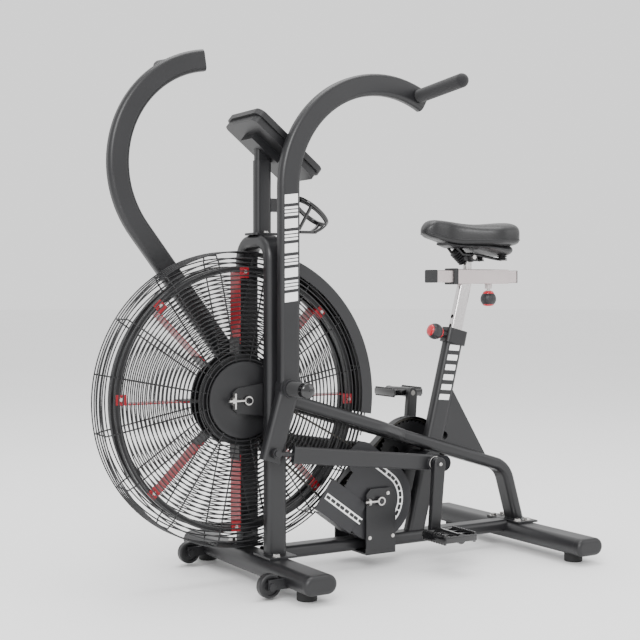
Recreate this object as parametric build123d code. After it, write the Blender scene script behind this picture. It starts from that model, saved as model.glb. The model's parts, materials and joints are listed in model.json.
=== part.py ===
"""Air bike: a steel frame, a caged fan turned by two chains, and two swing arms.

Millimetres.  +X points to the rear (from the fan to the saddle), +Y to the rider's
right and +Z up.  The origin is on the floor, under the middle of the machine.
"left" is the -Y side.
"""
from build123d import *
from math import acos, atan2, cos, degrees, hypot, pi, radians, sin, sqrt, tan
import os

# ---------------------------------------------------------------- overall sizes
overall_length = 1165.0        # cage front to rear stabiliser
stabiliser_length = 600.0      # over the end caps
cage_radius = 331.0
fan_axle_z = 411.0

# ---------------------------------------------------------------- stations along X
fan_x = -overall_length / 2 + cage_radius
front_x = fan_x + 46.0         # front stabiliser
fork_x = front_x + 18.0
pivot_x = front_x + 33.0
jack_x = front_x + 300.0
crank_x = front_x + 470.0
stabiliser_wide = 80.0
rear_x = overall_length / 2 - stabiliser_wide / 2

# ---------------------------------------------------------------- tube sizes
stabiliser_tall = 42.0
foot_height = 21.0
foot_radius = 22.0
foot_spacing = 476.0
cap_depth = 20.0
tube_wide = 50.0
tube_deep = 30.0
tube_corner = 11.0
tube_wall = 2.0
stabiliser_z = foot_height + stabiliser_tall / 2
stabiliser_top = foot_height + stabiliser_tall

# ---------------------------------------------------------------- fork and upper rails
fork_gap = 102.0               # clear width between the legs
fork_y = fork_gap / 2 + tube_deep / 2
fork_bend = 42.0
plate_thick = 5.0
crown_clear = 7.0              # cage to crown
crown_z = fan_axle_z + cage_radius + crown_clear + tube_deep / 2
rail_start_z = 412.0
rail_slope = 17.0
rail_turn_x = front_x + 300.0
rail_merge_x = front_x + 390.0
rail_merge_y = 25.0
rail_bend = 70.0
base_rail_z = 53.0
rear_bend_x = front_x + 720.0
rear_foot_x = front_x + 761.0
rear_bend = 62.0

# ---------------------------------------------------------------- seat tube
seat_lean = 14.3
seat_foot_x = front_x + 445.0
seat_foot_z = base_rail_z + tube_deep / 2
collar_from = 468.0            # distance up the tube
collar_to = 504.0
collar_wall = 5.0
post_wide = 34.0
post_deep = 20.0
post_corner = 6.0
slide_clear = 0.4
post_exposed = 118.0
post_inside = 185.0
post_hole_pitch = 24.0
post_hole_radius = 4.0
post_holes_above = 2           # holes showing above the collar
post_holes_below = 5

# ---------------------------------------------------------------- saddle slider
slider_size = 30.0
slider_wall = 2.0
slider_front_x = front_x + 488.0
slider_rear_x = front_x + 757.0
sleeve_front_x = front_x + 552.0
sleeve_rear_x = front_x + 727.0
sleeve_wall = 3.2
sleeve_collar = 13.0
slider_cap = 16.0
saddle_stub_x = front_x + 607.0
saddle_stub_radius = 11.0
saddle_forward = 26.0
saddle_back = 46.0
saddle_length = 256.0
saddle_width = 204.0
saddle_nose_x = front_x + 468.0
saddle_top_z = 828.0
saddle_bottom_z = 762.0
saddle_round = 16.0

# ---------------------------------------------------------------- knobs
knob_radius = 19.0
knob_reach = 38.0
pin_radius = 4.5
slider_knob_x = front_x + 675.0

# ---------------------------------------------------------------- swing arms
arm_gap = 6.0                  # fork leg to arm
arm_deep = 28.0
arm_y = fork_gap / 2 + tube_deep + arm_gap + arm_deep / 2
pivot_z = 437.5
arm_straight = 443.0
arm_bend = 245.0
arm_sweep = 119.0
lever_length = 146.0
lever_angle = 16.5             # forward of straight down
pivot_shaft_radius = 12.0
shaft_clear = 0.05
peg_shaft_radius = 8.0
peg_radius = 16.5
peg_length = 76.0
grip_radius = 16.0
grip_bar_radius = 11.0
grip_length = 158.0
grip_rise = 5.0

# ---------------------------------------------------------------- cranks and rods
crank_z = 239.0
eccentric = 46.0
eccentric_angle = 8.0
spindle_radius = 10.0
shell_radius = 22.0
shell_half = 36.0
web_from = 76.0
web_thick = 15.0
pin_shaft_radius = 9.0
boss_radius = 19.0
boss_from = 95.0
boss_thick = 20.0
crank_from = 120.5
crank_thick = 16.0
crank_length = 159.0
crank_lean = 4.6
rod_tall = 38.0
rod_thick = 12.0
rod_front_y = 127.2
rod_eye_y = 123.0
eye_thick = 9.0
eye_radius = 11.0
eye_to_rod = 40.0
part_gap = 0.5                 # between pieces that turn past each other
pedal_spindle_radius = 7.0
pedal_wide = 92.0
pedal_long = 96.0
pedal_thick = 24.0

# ---------------------------------------------------------------- chain drive
chain_pitch = 12.7
crank_teeth = 44
jack_small_teeth = 16
jack_big_teeth = 40
fan_teeth = 14
fan_chain_y = -31.6
crank_chain_y = 56.0
chain_thick = 5.0
chain_wide = 6.0
chain_clear = 0.6
sprocket_thick = 3.0
tooth_rise = 3.5
jack_z = 160.0
jack_plate_left = 60.0
jack_plate_right = 74.0
jack_plate_thick = 4.0
jack_axle_radius = 6.0
guard_radius = 97.0
guard_skin = 2.0
crank_guard_radius = 101.0

# ---------------------------------------------------------------- fan and cage
cage_half = 42.0
wire_radius = 1.6
wire_sides = 8                 # a ring's wire is drawn eight-sided
guard_disc_radius = 81.0
ring_count = 24
spoke_count = 16
hub_radius = 100.0
blade_inner = 124.0
blade_arm_end = 138.0
blade_arm_thick = 6.0
blade_tab = 24.0
blade_tab_fold = 22.0
blade_width = 46.0
blade_thick = 2.0
blade_count = 8
hoop_radius = 284.0
hoop_deep = 12.0
hoop_width = 11.0
fan_axle_radius = 6.0
eye_outer = 10.0               # eye screws of the tensioners
eye_inner = 7.2
axle_nut_radius = 6.9
tension_bar_wide = 11.0
tension_bar_tall = 34.0
wind_guard_radius = 335.0
wind_guard_skin = 2.0
wind_guard_half = 47.0
wind_guard_top = 72.0
wind_guard_end = -8.0

# ---------------------------------------------------------------- console, bottle, wheels
mast_x = front_x + 22.0
mast_wide = 40.0
mast_deep = 25.0
mast_top_z = 948.0
mast_wall = 2.0
console_tilt = 38.5
console_wide = 156.0
console_long = 208.0
console_thick = 16.0
console_x = front_x + 50.0
console_z = 980.0
button_radius = 7.0
bottle_radius = 37.5
bottle_wall = 5.0
bottle_x = front_x + 150.0
bottle_z = 826.0
wheel_radius = 26.0
wheel_wide = 20.0
wheel_x = front_x - 70.0
wheel_y = 198.0
wheel_z = 31.0


# ================================================================ small helpers
def tube_face(wide=tube_wide, deep=tube_deep, corner=tube_corner, shrink=0.0):
    """Flat-oval tube section, smaller all round by shrink."""
    return RectangleRounded(wide - 2 * shrink, deep - 2 * shrink, max(corner - shrink, 1.0))


def rod_along(start, end, radius):
    """Round bar between two points."""
    a = Vector(start)
    b = Vector(end)
    plane = Plane(origin=a, z_dir=b - a)
    return extrude(plane * Circle(radius), (b - a).length)


def y_disc(x, z, radius, y_from, y_to):
    """Round disc or bar along Y."""
    length = y_to - y_from
    return Pos(x, (y_from + y_to) / 2, z) * Rot(90, 0, 0) * Cylinder(radius, length)


def y_ring(x, z, outer, inner, y_from, y_to):
    """Flat ring along Y."""
    return y_disc(x, z, outer, y_from, y_to) - y_disc(x, z, inner, y_from - 1, y_to + 1)


def xz_plate(outline, y_from, y_to):
    """Sketch drawn in X and Z, given thickness along Y."""
    return extrude(Plane.XZ.offset(-y_from) * outline, -(y_to - y_from))


def hex_bolt(at, direction, head=8.0, tall=6.0):
    """Hexagon bolt head standing on a face."""
    plane = Plane(origin=Vector(*at), z_dir=Vector(*direction))
    body = extrude(plane * RegularPolygon(head, 6), tall)
    return body + extrude(plane * Circle(head * 1.25), 1.2)


def mirror_y(shape):
    return mirror(shape, about=Plane.XZ)


def both_sides(shape):
    return [shape, mirror_y(shape)]


def save(name, shapes):
    """Writes one sub-part; a list is kept as a group of separate solids."""
    solids = []
    for shape in shapes if isinstance(shapes, (list, tuple)) else [shapes]:
        solids += list(shape.solids())
    group = solids[0] if len(solids) == 1 else Compound(children=solids)
    export_step(group, "parts/" + name + ".step")


def pitch_radius(teeth):
    return chain_pitch / (2 * sin(pi / teeth))


def tip_radius(teeth):
    return pitch_radius(teeth) + tooth_rise


# ================================================================ linkage geometry
def turned(angle):
    """Unit vector in X and Z, degrees from +X towards +Z."""
    return cos(radians(angle)), sin(radians(angle))


def lever_pin(angle):
    """Rod pin on the lever, at an angle forward of straight down."""
    return (pivot_x - lever_length * sin(radians(angle)),
            pivot_z - lever_length * cos(radians(angle)))


def crank_pin(side):
    """Eccentric pin: side -1 is the left one, which is forward at rest."""
    c, s = turned(eccentric_angle)
    return crank_x + side * eccentric * c, crank_z - side * eccentric * s


def rod_span():
    front = lever_pin(lever_angle)
    back = crank_pin(-1)
    return hypot(back[0] - front[0], back[1] - front[1])


def right_lever_angle():
    """Lever angle that puts the right rod, at its own length, on the right pin."""
    back = crank_pin(1)
    dx = back[0] - pivot_x
    dz = back[1] - pivot_z
    reach = hypot(dx, dz)
    line = degrees(atan2(-dx, -dz))
    spread = (lever_length ** 2 + reach ** 2 - rod_span() ** 2) / (2 * lever_length * reach)
    return line + degrees(acos(spread))


def arm_swing():
    return lever_angle - right_lever_angle()


def pedal_axle(side):
    """Pedal axle: the left one hangs below its pin, the right one stands above."""
    x, z = crank_pin(side)
    return (x + side * crank_length * sin(radians(crank_lean)),
            z + side * crank_length * cos(radians(crank_lean)))


# ================================================================ base
def stabiliser_body(x, shrink=0.0, length=stabiliser_length - 2 * cap_depth):
    outline = SlotOverall(stabiliser_wide - 2 * shrink, stabiliser_tall - 2 * shrink)
    bar = extrude(Plane.XZ * outline, length / 2, both=True)
    return Pos(x, 0, stabiliser_z) * bar


def stabiliser(x):
    return stabiliser_body(x) - stabiliser_body(x, 2.5, stabiliser_length)


def stabiliser_cap(x, side):
    outline = SlotOverall(stabiliser_wide, stabiliser_tall)
    start = stabiliser_length / 2 - cap_depth
    cap = extrude(Plane.XZ.offset(-start) * outline, -cap_depth)
    cap = fillet(cap.faces().sort_by(Axis.Y)[-1].edges(), 10)
    cap = Pos(x, 0, stabiliser_z) * cap
    return cap if side > 0 else mirror_y(cap)


def rubber_foot(x, y):
    pad = Pos(x, y, foot_height / 2) * Cylinder(foot_radius, foot_height)
    return fillet(pad.faces().sort_by(Axis.Z)[0].edges(), 2.5)


def flat_bar(x_from, x_to, z, shrink=0.0):
    face = Plane.YZ.offset(x_from) * tube_face(shrink=shrink)
    return Pos(0, 0, z) * extrude(face, x_to - x_from)


def base_rail():
    shell = flat_bar(front_x + 28, rear_x - 28, base_rail_z)
    shell -= flat_bar(front_x, rear_x, base_rail_z, tube_wall)
    return shell - stabiliser_body(front_x) - stabiliser_body(rear_x)


# ================================================================ fork
def fork_solid(shrink=0.0):
    foot = stabiliser_top + plate_thick
    path = FilletPolyline(
        (fork_x, -fork_y, foot), (fork_x, -fork_y, crown_z),
        (fork_x, fork_y, crown_z), (fork_x, fork_y, foot), radius=fork_bend)
    section = Plane(origin=path @ 0, z_dir=path % 0, x_dir=(1, 0, 0)) * tube_face(shrink=shrink)
    return sweep(section, path=path)


def fork_foot(side):
    plate = Box(68, 78, plate_thick)
    y = side * (fork_y + 12)
    return Pos(front_x + 12, y, stabiliser_top + plate_thick / 2) * plate


def front_fork():
    fork = fork_solid() - fork_solid(tube_wall)
    return [fork, fork_foot(-1), fork_foot(1)]


# ================================================================ upper rails and rear tube
def rail_z(x):
    return rail_start_z - (x - fork_x - tube_wide / 2) * tan(radians(rail_slope))


def upper_rail_solid(shrink=0.0):
    points = []
    for x, y in ((fork_x + 10, fork_y), (rail_turn_x, fork_y), (rail_merge_x - 8, rail_merge_y),
                 (rail_merge_x + 40, rail_merge_y)):
        points.append((x, -y, rail_z(x)))
    path = FilletPolyline(*points, radius=rail_bend)
    size = tube_deep - 2 * shrink
    section = Plane(origin=path @ 0, z_dir=path % 0, x_dir=(0, 1, 0))
    return sweep(section * RectangleRounded(size, size, 12 - shrink), path=path)


def rear_tube_solid(shrink=0.0):
    foot = stabiliser_top + plate_thick
    path = FilletPolyline(
        (rail_merge_x, 0, rail_z(rail_merge_x)), (rear_bend_x, 0, rail_z(rear_bend_x)),
        (rear_foot_x, 0, foot), radius=rear_bend)
    section = Plane(origin=path @ 0, z_dir=path % 0, x_dir=(0, 1, 0)) * tube_face(shrink=shrink)
    return sweep(section, path=path)


def merge_cut():
    """Everything behind the plane where the two rails meet the rear tube."""
    plane = Plane(origin=(rail_merge_x, 0, rail_z(rail_merge_x)),
                  z_dir=(cos(radians(rail_slope)), 0, -sin(radians(rail_slope))))
    return extrude(plane * Rectangle(400, 400), 200)


def upper_rails():
    rail = upper_rail_solid() - upper_rail_solid(tube_wall)
    rail = rail - fork_solid() - merge_cut()
    return both_sides(rail)


def rear_tube():
    tube = rear_tube_solid() - rear_tube_solid(tube_wall)
    foot = Pos(rear_foot_x - 6, 0, stabiliser_top + plate_thick / 2)
    return tube - stabiliser_body(rear_x) + foot * Box(62, 128, plate_thick)


# ================================================================ seat tube
def seat_point(distance, ahead=0.0):
    """Point on the seat tube's axis, or ahead of it, towards the fan."""
    c = cos(radians(seat_lean))
    s = sin(radians(seat_lean))
    return (seat_foot_x + distance * s - ahead * c, 0, seat_foot_z + distance * c + ahead * s)


def seat_bar(start, end, wide, deep, corner):
    a = Vector(*seat_point(start))
    b = Vector(*seat_point(end))
    plane = Plane(origin=a, z_dir=b - a, x_dir=(cos(radians(seat_lean)), 0, -sin(radians(seat_lean))))
    return extrude(plane * RectangleRounded(wide, deep, corner), (b - a).length)


def bottom_bracket_cut():
    return y_disc(crank_x, crank_z, shell_radius, -shell_half, shell_half)


def seat_tube():
    """Upper tube, open at the top for the post."""
    outer = seat_bar(150, collar_to, tube_wide, tube_deep, tube_corner)
    fit = slide_clear
    bore = seat_bar(140, collar_to + 5, post_wide + 2 * fit, post_deep + 2 * fit, post_corner + fit)
    wide_bore = seat_bar(140, collar_from - 60, tube_wide - 4, tube_deep - 4, tube_corner - 2)
    tube = outer - bore - wide_bore - rear_tube_solid()
    above = tube.solids().sort_by(Axis.Z)[-1]
    pin_hole = rod_along(seat_point(collar_from + 17, 0), seat_point(collar_from + 17, 60), pin_radius + 1)
    return above - pin_hole


def lower_strut():
    """Short tube from the base rail to the rear tube, with the crank bearing shell."""
    outer = seat_bar(-25, 230, tube_wide, tube_deep, tube_corner)
    inner = seat_bar(-30, 240, tube_wide - 4, tube_deep - 4, tube_corner - 2)
    base = flat_bar(front_x, rear_x, base_rail_z)
    strut = outer - inner - base - rear_tube_solid() - bottom_bracket_cut()
    tube = strut.solids().sort_by(SortBy.VOLUME)[-1]
    shell = y_ring(crank_x, crank_z, shell_radius, 16.0, -shell_half, shell_half) - rear_tube_solid()
    bearings = []
    for y in (-shell_half, shell_half - 12):
        bearings.append(y_ring(crank_x, crank_z, 15.9, spindle_radius + shaft_clear, y, y + 12))
    return [tube, shell] + bearings


def seat_gusset():
    """Boxed triangle behind the seat tube, with a drain notch at its front corner."""
    s = sin(radians(seat_lean))
    x_top, _, z_top = seat_point(355, -tube_wide / 2 + 2)
    x_low = front_x + 662.0
    outline = Polyline((x_top, z_top), (seat_point(200)[0], seat_point(200)[2]),
                       (x_low - 40, rail_z(x_low) - 8), (x_low, rail_z(x_low) + 10), close=True)
    plate = xz_plate(make_face(outline), -11, 11)
    tube = seat_bar(150, collar_to, tube_wide, tube_deep, tube_corner)
    notch_x, _, notch_z = seat_point(240, -tube_wide / 2)
    plate = plate - tube - rear_tube_solid()
    plate -= y_disc(notch_x + 3 * s, notch_z, 10, -30, 30)
    return plate.solids().sort_by(SortBy.VOLUME)[-1]


def seat_collar():
    wide = tube_wide + 2 * collar_wall
    deep = tube_deep + 2 * collar_wall
    ring = seat_bar(collar_from, collar_to, wide, deep, tube_corner)
    ring -= seat_bar(collar_from - 5, collar_to + 5, tube_wide, tube_deep, tube_corner)
    middle = collar_from + (collar_to - collar_from) / 2
    bush = rod_along(seat_point(middle, tube_wide / 2 + 2), seat_point(middle, tube_wide / 2 + 13), 10)
    hole = rod_along(seat_point(middle, 0), seat_point(middle, 60), pin_radius + 1)
    return ring + bush - hole


# ================================================================ saddle post and slider
def sleeve_z():
    return seat_point(collar_to + post_exposed)[2] + slider_size / 2 + sleeve_wall


def seat_post():
    top = collar_to + post_exposed + 6
    start = collar_to - post_inside
    post = seat_bar(start, top, post_wide, post_deep, post_corner)
    post -= seat_bar(start - 5, top + 5, post_wide - 4, post_deep - 4, post_corner - 2)
    size = slider_size + 2 * sleeve_wall
    post -= Pos((sleeve_front_x + sleeve_rear_x) / 2, 0, sleeve_z()) * Box(400, size, size)
    hole = (collar_from + collar_to) / 2
    for step in range(-post_holes_below, post_holes_above + 1):
        at = hole + step * post_hole_pitch
        post -= rod_along(seat_point(at, 5), seat_point(at, 30), post_hole_radius + 1.2)
    return post.solids().sort_by(SortBy.VOLUME)[-1]


def square_bar(x_from, x_to, size, corner=3.0):
    face = Plane.YZ.offset(x_from) * RectangleRounded(size, size, corner)
    return Pos(0, 0, sleeve_z()) * extrude(face, x_to - x_from)


def slider_sleeve():
    """Square sleeve on the post, slotted on top for the saddle stub."""
    size = slider_size + 2 * sleeve_wall
    sleeve = square_bar(sleeve_front_x + sleeve_collar, sleeve_rear_x, size)
    bore = square_bar(sleeve_front_x - 5, sleeve_rear_x + 5, slider_size + 2 * slide_clear)
    slot_from = saddle_stub_x - saddle_forward - saddle_stub_radius - 1
    slot_to = saddle_stub_x + saddle_back + saddle_stub_radius + 1
    slot = Pos((slot_from + slot_to) / 2, 0, sleeve_z() + size / 2)
    slot = slot * Box(slot_to - slot_from, 2 * saddle_stub_radius + 2, 16)
    hole = Pos(slider_knob_x, 0, sleeve_z() - size / 2) * Cylinder(pin_radius + 1, 40)
    collar = square_bar(sleeve_front_x, sleeve_front_x + sleeve_collar, size + 4, 4.0)
    bush = Pos(slider_knob_x, 0, sleeve_z() - size / 2 - 6) * Cylinder(9, 12)
    collar_part = collar - bore
    sleeve_part = (sleeve + bush) - bore - slot - hole
    return [sleeve_part, collar_part]


def slider_tube():
    tube = square_bar(slider_front_x + slider_cap, slider_rear_x - 3, slider_size)
    tube -= square_bar(slider_front_x, slider_rear_x + 5, slider_size - 2 * slider_wall, 1.5)
    for step in range(-2, 4):
        x = slider_knob_x + step * 16.0
        tube -= Pos(x, 0, sleeve_z() - slider_size / 2) * Cylinder(post_hole_radius + 1.2, 10)
    front = square_bar(slider_front_x, slider_front_x + slider_cap, slider_size + 2, 4.0)
    rear = square_bar(slider_rear_x - 3, slider_rear_x, slider_size + 2, 1.5)
    return [tube, front, rear]


def saddle_clamp():
    """Stub on the slider, its clamp, the pressed pan and two coil springs' sleeves."""
    base = sleeve_z() + slider_size / 2
    stub = Pos(saddle_stub_x, 0, base + 12) * Cylinder(saddle_stub_radius, 24)
    head = Pos(saddle_stub_x, 0, base + 33) * Box(44, 34, 18)
    head += Pos(saddle_stub_x, 0, base + 33) * Rot(90, 0, 0) * Cylinder(12, 46)
    rails = []
    for side in (-1, 1):
        rail = Pos(saddle_stub_x + 8, side * 22, base + 46) * Rot(0, 90, 0) * Cylinder(3.5, 120)
        rails.append(rail)
        spring = Pos(saddle_stub_x + 74, side * 46, base + 41) * Cylinder(14, 26)
        rails.append(spring)
        rails.append(Pos(saddle_stub_x + 62, side * 34, base + 30) * Box(44, 30, 5))
    solid = stub + head
    for rail in rails:
        solid += rail
    bridge = Pos(saddle_stub_x + 35, 0, base + 30) * Box(34, 92, 5)
    nose = Pos(saddle_stub_x - 46, 0, base + 46) * Box(24, 54, 8)
    return solid + bridge + nose


def saddle_outline(grow=0.0, points=18):
    """Half widths of the saddle from nose to tail, as a smooth closed curve."""
    nose = 24.0
    half = saddle_width / 2
    left = []
    for step in range(points + 1):
        t = step / points
        blend = 0.5 - 0.5 * cos(pi * min(max((t - 0.25) / 0.5, 0.0), 1.0))
        width = nose + (half - nose) * blend
        if t < 0.12:
            width *= sqrt(1 - (1 - t / 0.12) ** 2)
        if t > 0.86:
            width *= sqrt(max(1 - ((t - 0.86) / 0.14) ** 2, 0.0)) * 0.55 + 0.45 * (t < 1.0)
        left.append((saddle_nose_x + t * saddle_length, max(width + grow, 0.0)))
    return left


def saddle_face(grow=0.0):
    side = saddle_outline(grow)
    inner = side[1:-1]
    upper = [side[0]] + inner + [side[-1]]
    lower = [(x, -y) for x, y in reversed(inner)]
    top = Spline([(x, y) for x, y in inner])
    bottom = Spline([(x, y) for x, y in lower])
    nose = ThreePointArc((lower[-1]), (upper[0][0], 0), (inner[0]))
    tail = ThreePointArc((inner[-1]), (upper[-1][0], 0), (lower[0]))
    return make_face([top, tail, bottom, nose])


def saddle_cushion():
    body = extrude(Plane.XY.offset(saddle_bottom_z) * saddle_face(), saddle_top_z - saddle_bottom_z)
    return fillet(body.faces().sort_by(Axis.Z)[-1].edges(), saddle_round)


# ================================================================ pull knobs
def pull_knob(at, out, reach):
    """Ball knob on a plunger: at is on the bush's end, out points away from the tube."""
    a = Vector(*at)
    d = Vector(*out).normalized()
    neck = rod_along(a + d * 0.5, a + d * (reach - knob_radius + 4), 7)
    ball = Pos(a + d * (reach - 4)) * Sphere(knob_radius)
    plunger = rod_along(a - d * 14, a + d * 3, pin_radius)
    cap = rod_along(a + d * (reach - 4), a + d * (reach + knob_radius - 7), 12)
    return neck + ball + plunger + cap


def height_knob():
    middle = collar_from + (collar_to - collar_from) / 2
    at = seat_point(middle, tube_wide / 2 + 13)
    ahead = seat_point(middle, tube_wide / 2 + 14)
    out = (ahead[0] - at[0], 0, ahead[2] - at[2])
    return pull_knob(at, out, knob_reach)


def slider_knob():
    z = sleeve_z() - slider_size / 2 - sleeve_wall - 12
    return pull_knob((slider_knob_x, 0, z), (0, 0, -1), 26)


# ================================================================ swing arms
def arm_tube(shrink, trim):
    """Upright and bow; trim leaves the ends of the inner void short."""
    section = Plane(origin=(pivot_x, 0, pivot_z + trim), z_dir=(0, 0, 1), x_dir=(1, 0, 0))
    face = section * RectangleRounded(tube_wide - 2 * shrink, arm_deep - 2 * shrink, 10 - shrink)
    straight = extrude(face, arm_straight - trim)
    centre_x = pivot_x + arm_bend
    turn = Axis((centre_x, 0, pivot_z + arm_straight), (0, 1, 0))
    top = Plane(origin=(pivot_x, 0, pivot_z + arm_straight), z_dir=(0, 0, 1), x_dir=(1, 0, 0))
    face = top * RectangleRounded(tube_wide - 2 * shrink, arm_deep - 2 * shrink, 10 - shrink)
    angle = arm_sweep - (1.0 if shrink else 0.0)
    bow = revolve(face, axis=turn, revolution_arc=angle)
    return straight + bow


def arm_end():
    """Middle of the bow's end, and the direction of its tangent."""
    angle = radians(arm_sweep)
    x = pivot_x + arm_bend - arm_bend * cos(angle)
    z = pivot_z + arm_straight + arm_bend * sin(angle)
    return x, z


def lever_bar(shrink, trim):
    c, s = turned(-90 - lever_angle)
    plane = Plane(origin=(pivot_x, 0, pivot_z), z_dir=(c, 0, s), x_dir=(-s, 0, c))
    face = plane * RectangleRounded(tube_wide - 2 * shrink, arm_deep - 2 * shrink, 10 - shrink)
    bar = extrude(face, lever_length + 20 - trim)
    return bar


def grip_axis(offset):
    """Point along the grip's axis, measured outwards from the arm's middle (left side)."""
    x, z = arm_end()
    back = radians(arm_sweep)
    x -= 22 * sin(back)
    z -= 22 * cos(back)
    rise = radians(grip_rise)
    return x, -offset * cos(rise), z + offset * sin(rise)


def swing_arm_left():
    """Left arm at rest: upright, with its lever forward."""
    hub = y_disc(pivot_x, pivot_z, 27, -arm_deep / 2, arm_deep / 2)
    arm = arm_tube(0, 0) + lever_bar(0, 0) + hub
    arm -= arm_tube(tube_wall, 34)
    inner = lever_bar(tube_wall, 3)
    keep = y_disc(pivot_x, pivot_z, 31, -20, 20)
    arm -= inner - keep
    rim = y_ring(pivot_x, pivot_z, 20.5, peg_radius + 1.2, -arm_deep / 2 - 5, -arm_deep / 2 + 2)
    arm += rim
    arm += rod_along(grip_axis(5), grip_axis(arm_deep / 2 + grip_length - 10), grip_bar_radius)
    bore = y_disc(pivot_x, pivot_z, pivot_shaft_radius + shaft_clear, -40, 40)
    return Pos(0, -arm_y, 0) * (arm - bore)


def grip_left():
    start = arm_deep / 2 + 2.2
    sleeve = rod_along(grip_axis(start), grip_axis(start + grip_length), grip_radius)
    tip = Vector(*grip_axis(start + grip_length))
    sleeve += Pos(tip) * Sphere(grip_radius)
    sleeve -= rod_along(grip_axis(0), grip_axis(arm_deep / 2 + grip_length - 9), grip_bar_radius + 0.02)
    return Pos(0, -arm_y, 0) * sleeve


def to_right(shape):
    """Mirrors a left arm piece and swings it forward to its place on the right."""
    pivot = Axis((pivot_x, 0, pivot_z), (0, 1, 0))
    return mirror_y(shape).rotate(pivot, -arm_swing())


def pivot_shafts():
    start = fork_gap / 2 + tube_deep
    step = arm_y + arm_deep / 2 + 0.6
    shaft = y_disc(pivot_x, pivot_z, pivot_shaft_radius, -step, -start)
    shaft += y_disc(pivot_x, pivot_z, peg_shaft_radius, -step - peg_length + 12, -step)
    flange = y_disc(pivot_x, pivot_z, 17, -start - 3, -start)
    return both_sides(shaft + flange)


def foot_pegs():
    start = arm_y + arm_deep / 2 + 1.0
    peg = y_disc(pivot_x, pivot_z, peg_radius, -start - peg_length, -start)
    peg = fillet(peg.faces().sort_by(Axis.Y)[0].edges(), 11)
    peg -= y_disc(pivot_x, pivot_z, peg_shaft_radius + 0.02, -start - peg_length + 11, -start + 1)
    return both_sides(peg)


# ================================================================ cranks, rods, pedals
def crank_spindle():
    """Spindle with a web and an eccentric pin at each end."""
    reach = web_from + web_thick
    shaft = y_disc(crank_x, crank_z, spindle_radius, -reach, reach)
    for side in (-1, 1):
        x, z = crank_pin(side)
        y_from = min(side * web_from, side * reach)
        web = make_hull((Pos(crank_x, crank_z) * Circle(19)).edges() + (Pos(x, z) * Circle(17)).edges())
        shaft += xz_plate(web, y_from, y_from + web_thick)
        tip = crank_from + crank_thick
        shaft += y_disc(x, z, pin_shaft_radius, min(side * reach, side * tip), max(side * reach, side * tip))
    return shaft


def crank_arm(side):
    """Pedal crank on the eccentric pin."""
    x, z = crank_pin(side)
    px, pz = pedal_axle(side)
    outline = make_hull((Pos(x, z) * Circle(16)).edges() + (Pos(px, pz) * Circle(14)).edges())
    y_in = side * crank_from
    y_out = side * (crank_from + crank_thick)
    arm = xz_plate(outline, min(y_in, y_out), max(y_in, y_out))
    arm = fillet(arm.faces().filter_by(Axis.Y).edges(), 3)
    arm -= y_disc(x, z, pin_shaft_radius, -200, 200)
    arm -= y_disc(px, pz, pedal_spindle_radius + shaft_clear, -200, 200)
    return arm


def crank_sprocket():
    plate = sprocket(crank_x, crank_z, crank_teeth, crank_chain_y)
    plate -= y_disc(crank_x, crank_z, spindle_radius, 0, 100)
    for step in range(5):
        c, s = turned(step * 72 + 20)
        plate -= y_disc(crank_x + 50 * c, crank_z + 50 * s, 15, 0, 100)
    hub = y_ring(crank_x, crank_z, 17, spindle_radius, crank_chain_y - 8, crank_chain_y + 8)
    return plate + hub


def push_rod(side):
    """Rod from the lever's pin to the crank's pin, with its eye and its bearing boss."""
    ex, ez = lever_pin(lever_angle if side < 0 else right_lever_angle())
    bx, bz = crank_pin(side)
    eye = Vector(ex, side * rod_front_y, ez)
    boss = Vector(bx, side * (boss_from + boss_thick / 2), bz)
    along = (boss - eye).normalized()
    across = along.cross(Vector(0, 0, 1)).normalized()
    start = eye + along * eye_to_rod
    plane = Plane(origin=start, z_dir=along, x_dir=across)
    span = (boss - eye).length - eye_to_rod
    outer = extrude(plane * RectangleRounded(rod_thick, rod_tall, 5), span)
    inner = extrude(plane.offset(12) * RectangleRounded(rod_thick - 4, rod_tall - 4, 3), span - 46)
    y_boss = sorted((side * boss_from, side * (boss_from + boss_thick)))
    rod = outer - inner + y_disc(bx, bz, boss_radius, *y_boss)
    rod -= y_disc(bx, bz, pin_shaft_radius + shaft_clear, -200, 200)
    face_y = side * (arm_y + arm_deep / 2 + part_gap)
    eye_y = sorted((side * (rod_eye_y - eye_thick / 2), side * (rod_eye_y + eye_thick / 2)))
    ring = y_disc(ex, ez, eye_radius, *eye_y)
    washer = y_disc(ex, ez, 8, *sorted((face_y, side * rod_eye_y)))
    head_y = side * (rod_eye_y + eye_thick / 2 + 5)
    head = y_disc(ex, ez, 7.5, *sorted((side * rod_eye_y, head_y)))
    tail = Vector(ex, side * rod_eye_y, ez) + along * (eye_to_rod + 10)
    shank = rod_along((ex, side * rod_eye_y, ez), tail, 5)
    nut_from = Vector(ex, side * rod_eye_y, ez) + along * 22
    nut_to = Vector(ex, side * rod_eye_y, ez) + along * 29
    nut = rod_along(nut_from, nut_to, 6)
    return rod + ring + washer + head + shank + nut


def pedal(side):
    """Cage pedal on its own spindle, level at rest."""
    px, pz = pedal_axle(side)
    inner = crank_from + crank_thick
    start = inner + 5.0
    end = start + pedal_long
    mid = side * (start + end) / 2
    block = Pos(px, mid, pz) * Box(pedal_wide, pedal_long, pedal_thick)
    block = fillet(block.edges().filter_by(Axis.Z), 10)
    for dx in (-1, 1):
        for dy in (-1, 1):
            well = Pos(px + dx * 24, mid + dy * 21, pz) * Box(28, 30, pedal_thick + 2)
            block -= fillet(well.edges().filter_by(Axis.Z), 5)
    spindle_y = sorted((side * (crank_from + 1), side * start))
    spindle = y_disc(px, pz, pedal_spindle_radius, *spindle_y)
    collar = y_disc(px, pz, 10, *sorted((side * (inner + 1.0), side * start)))
    return block + spindle + collar


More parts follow.
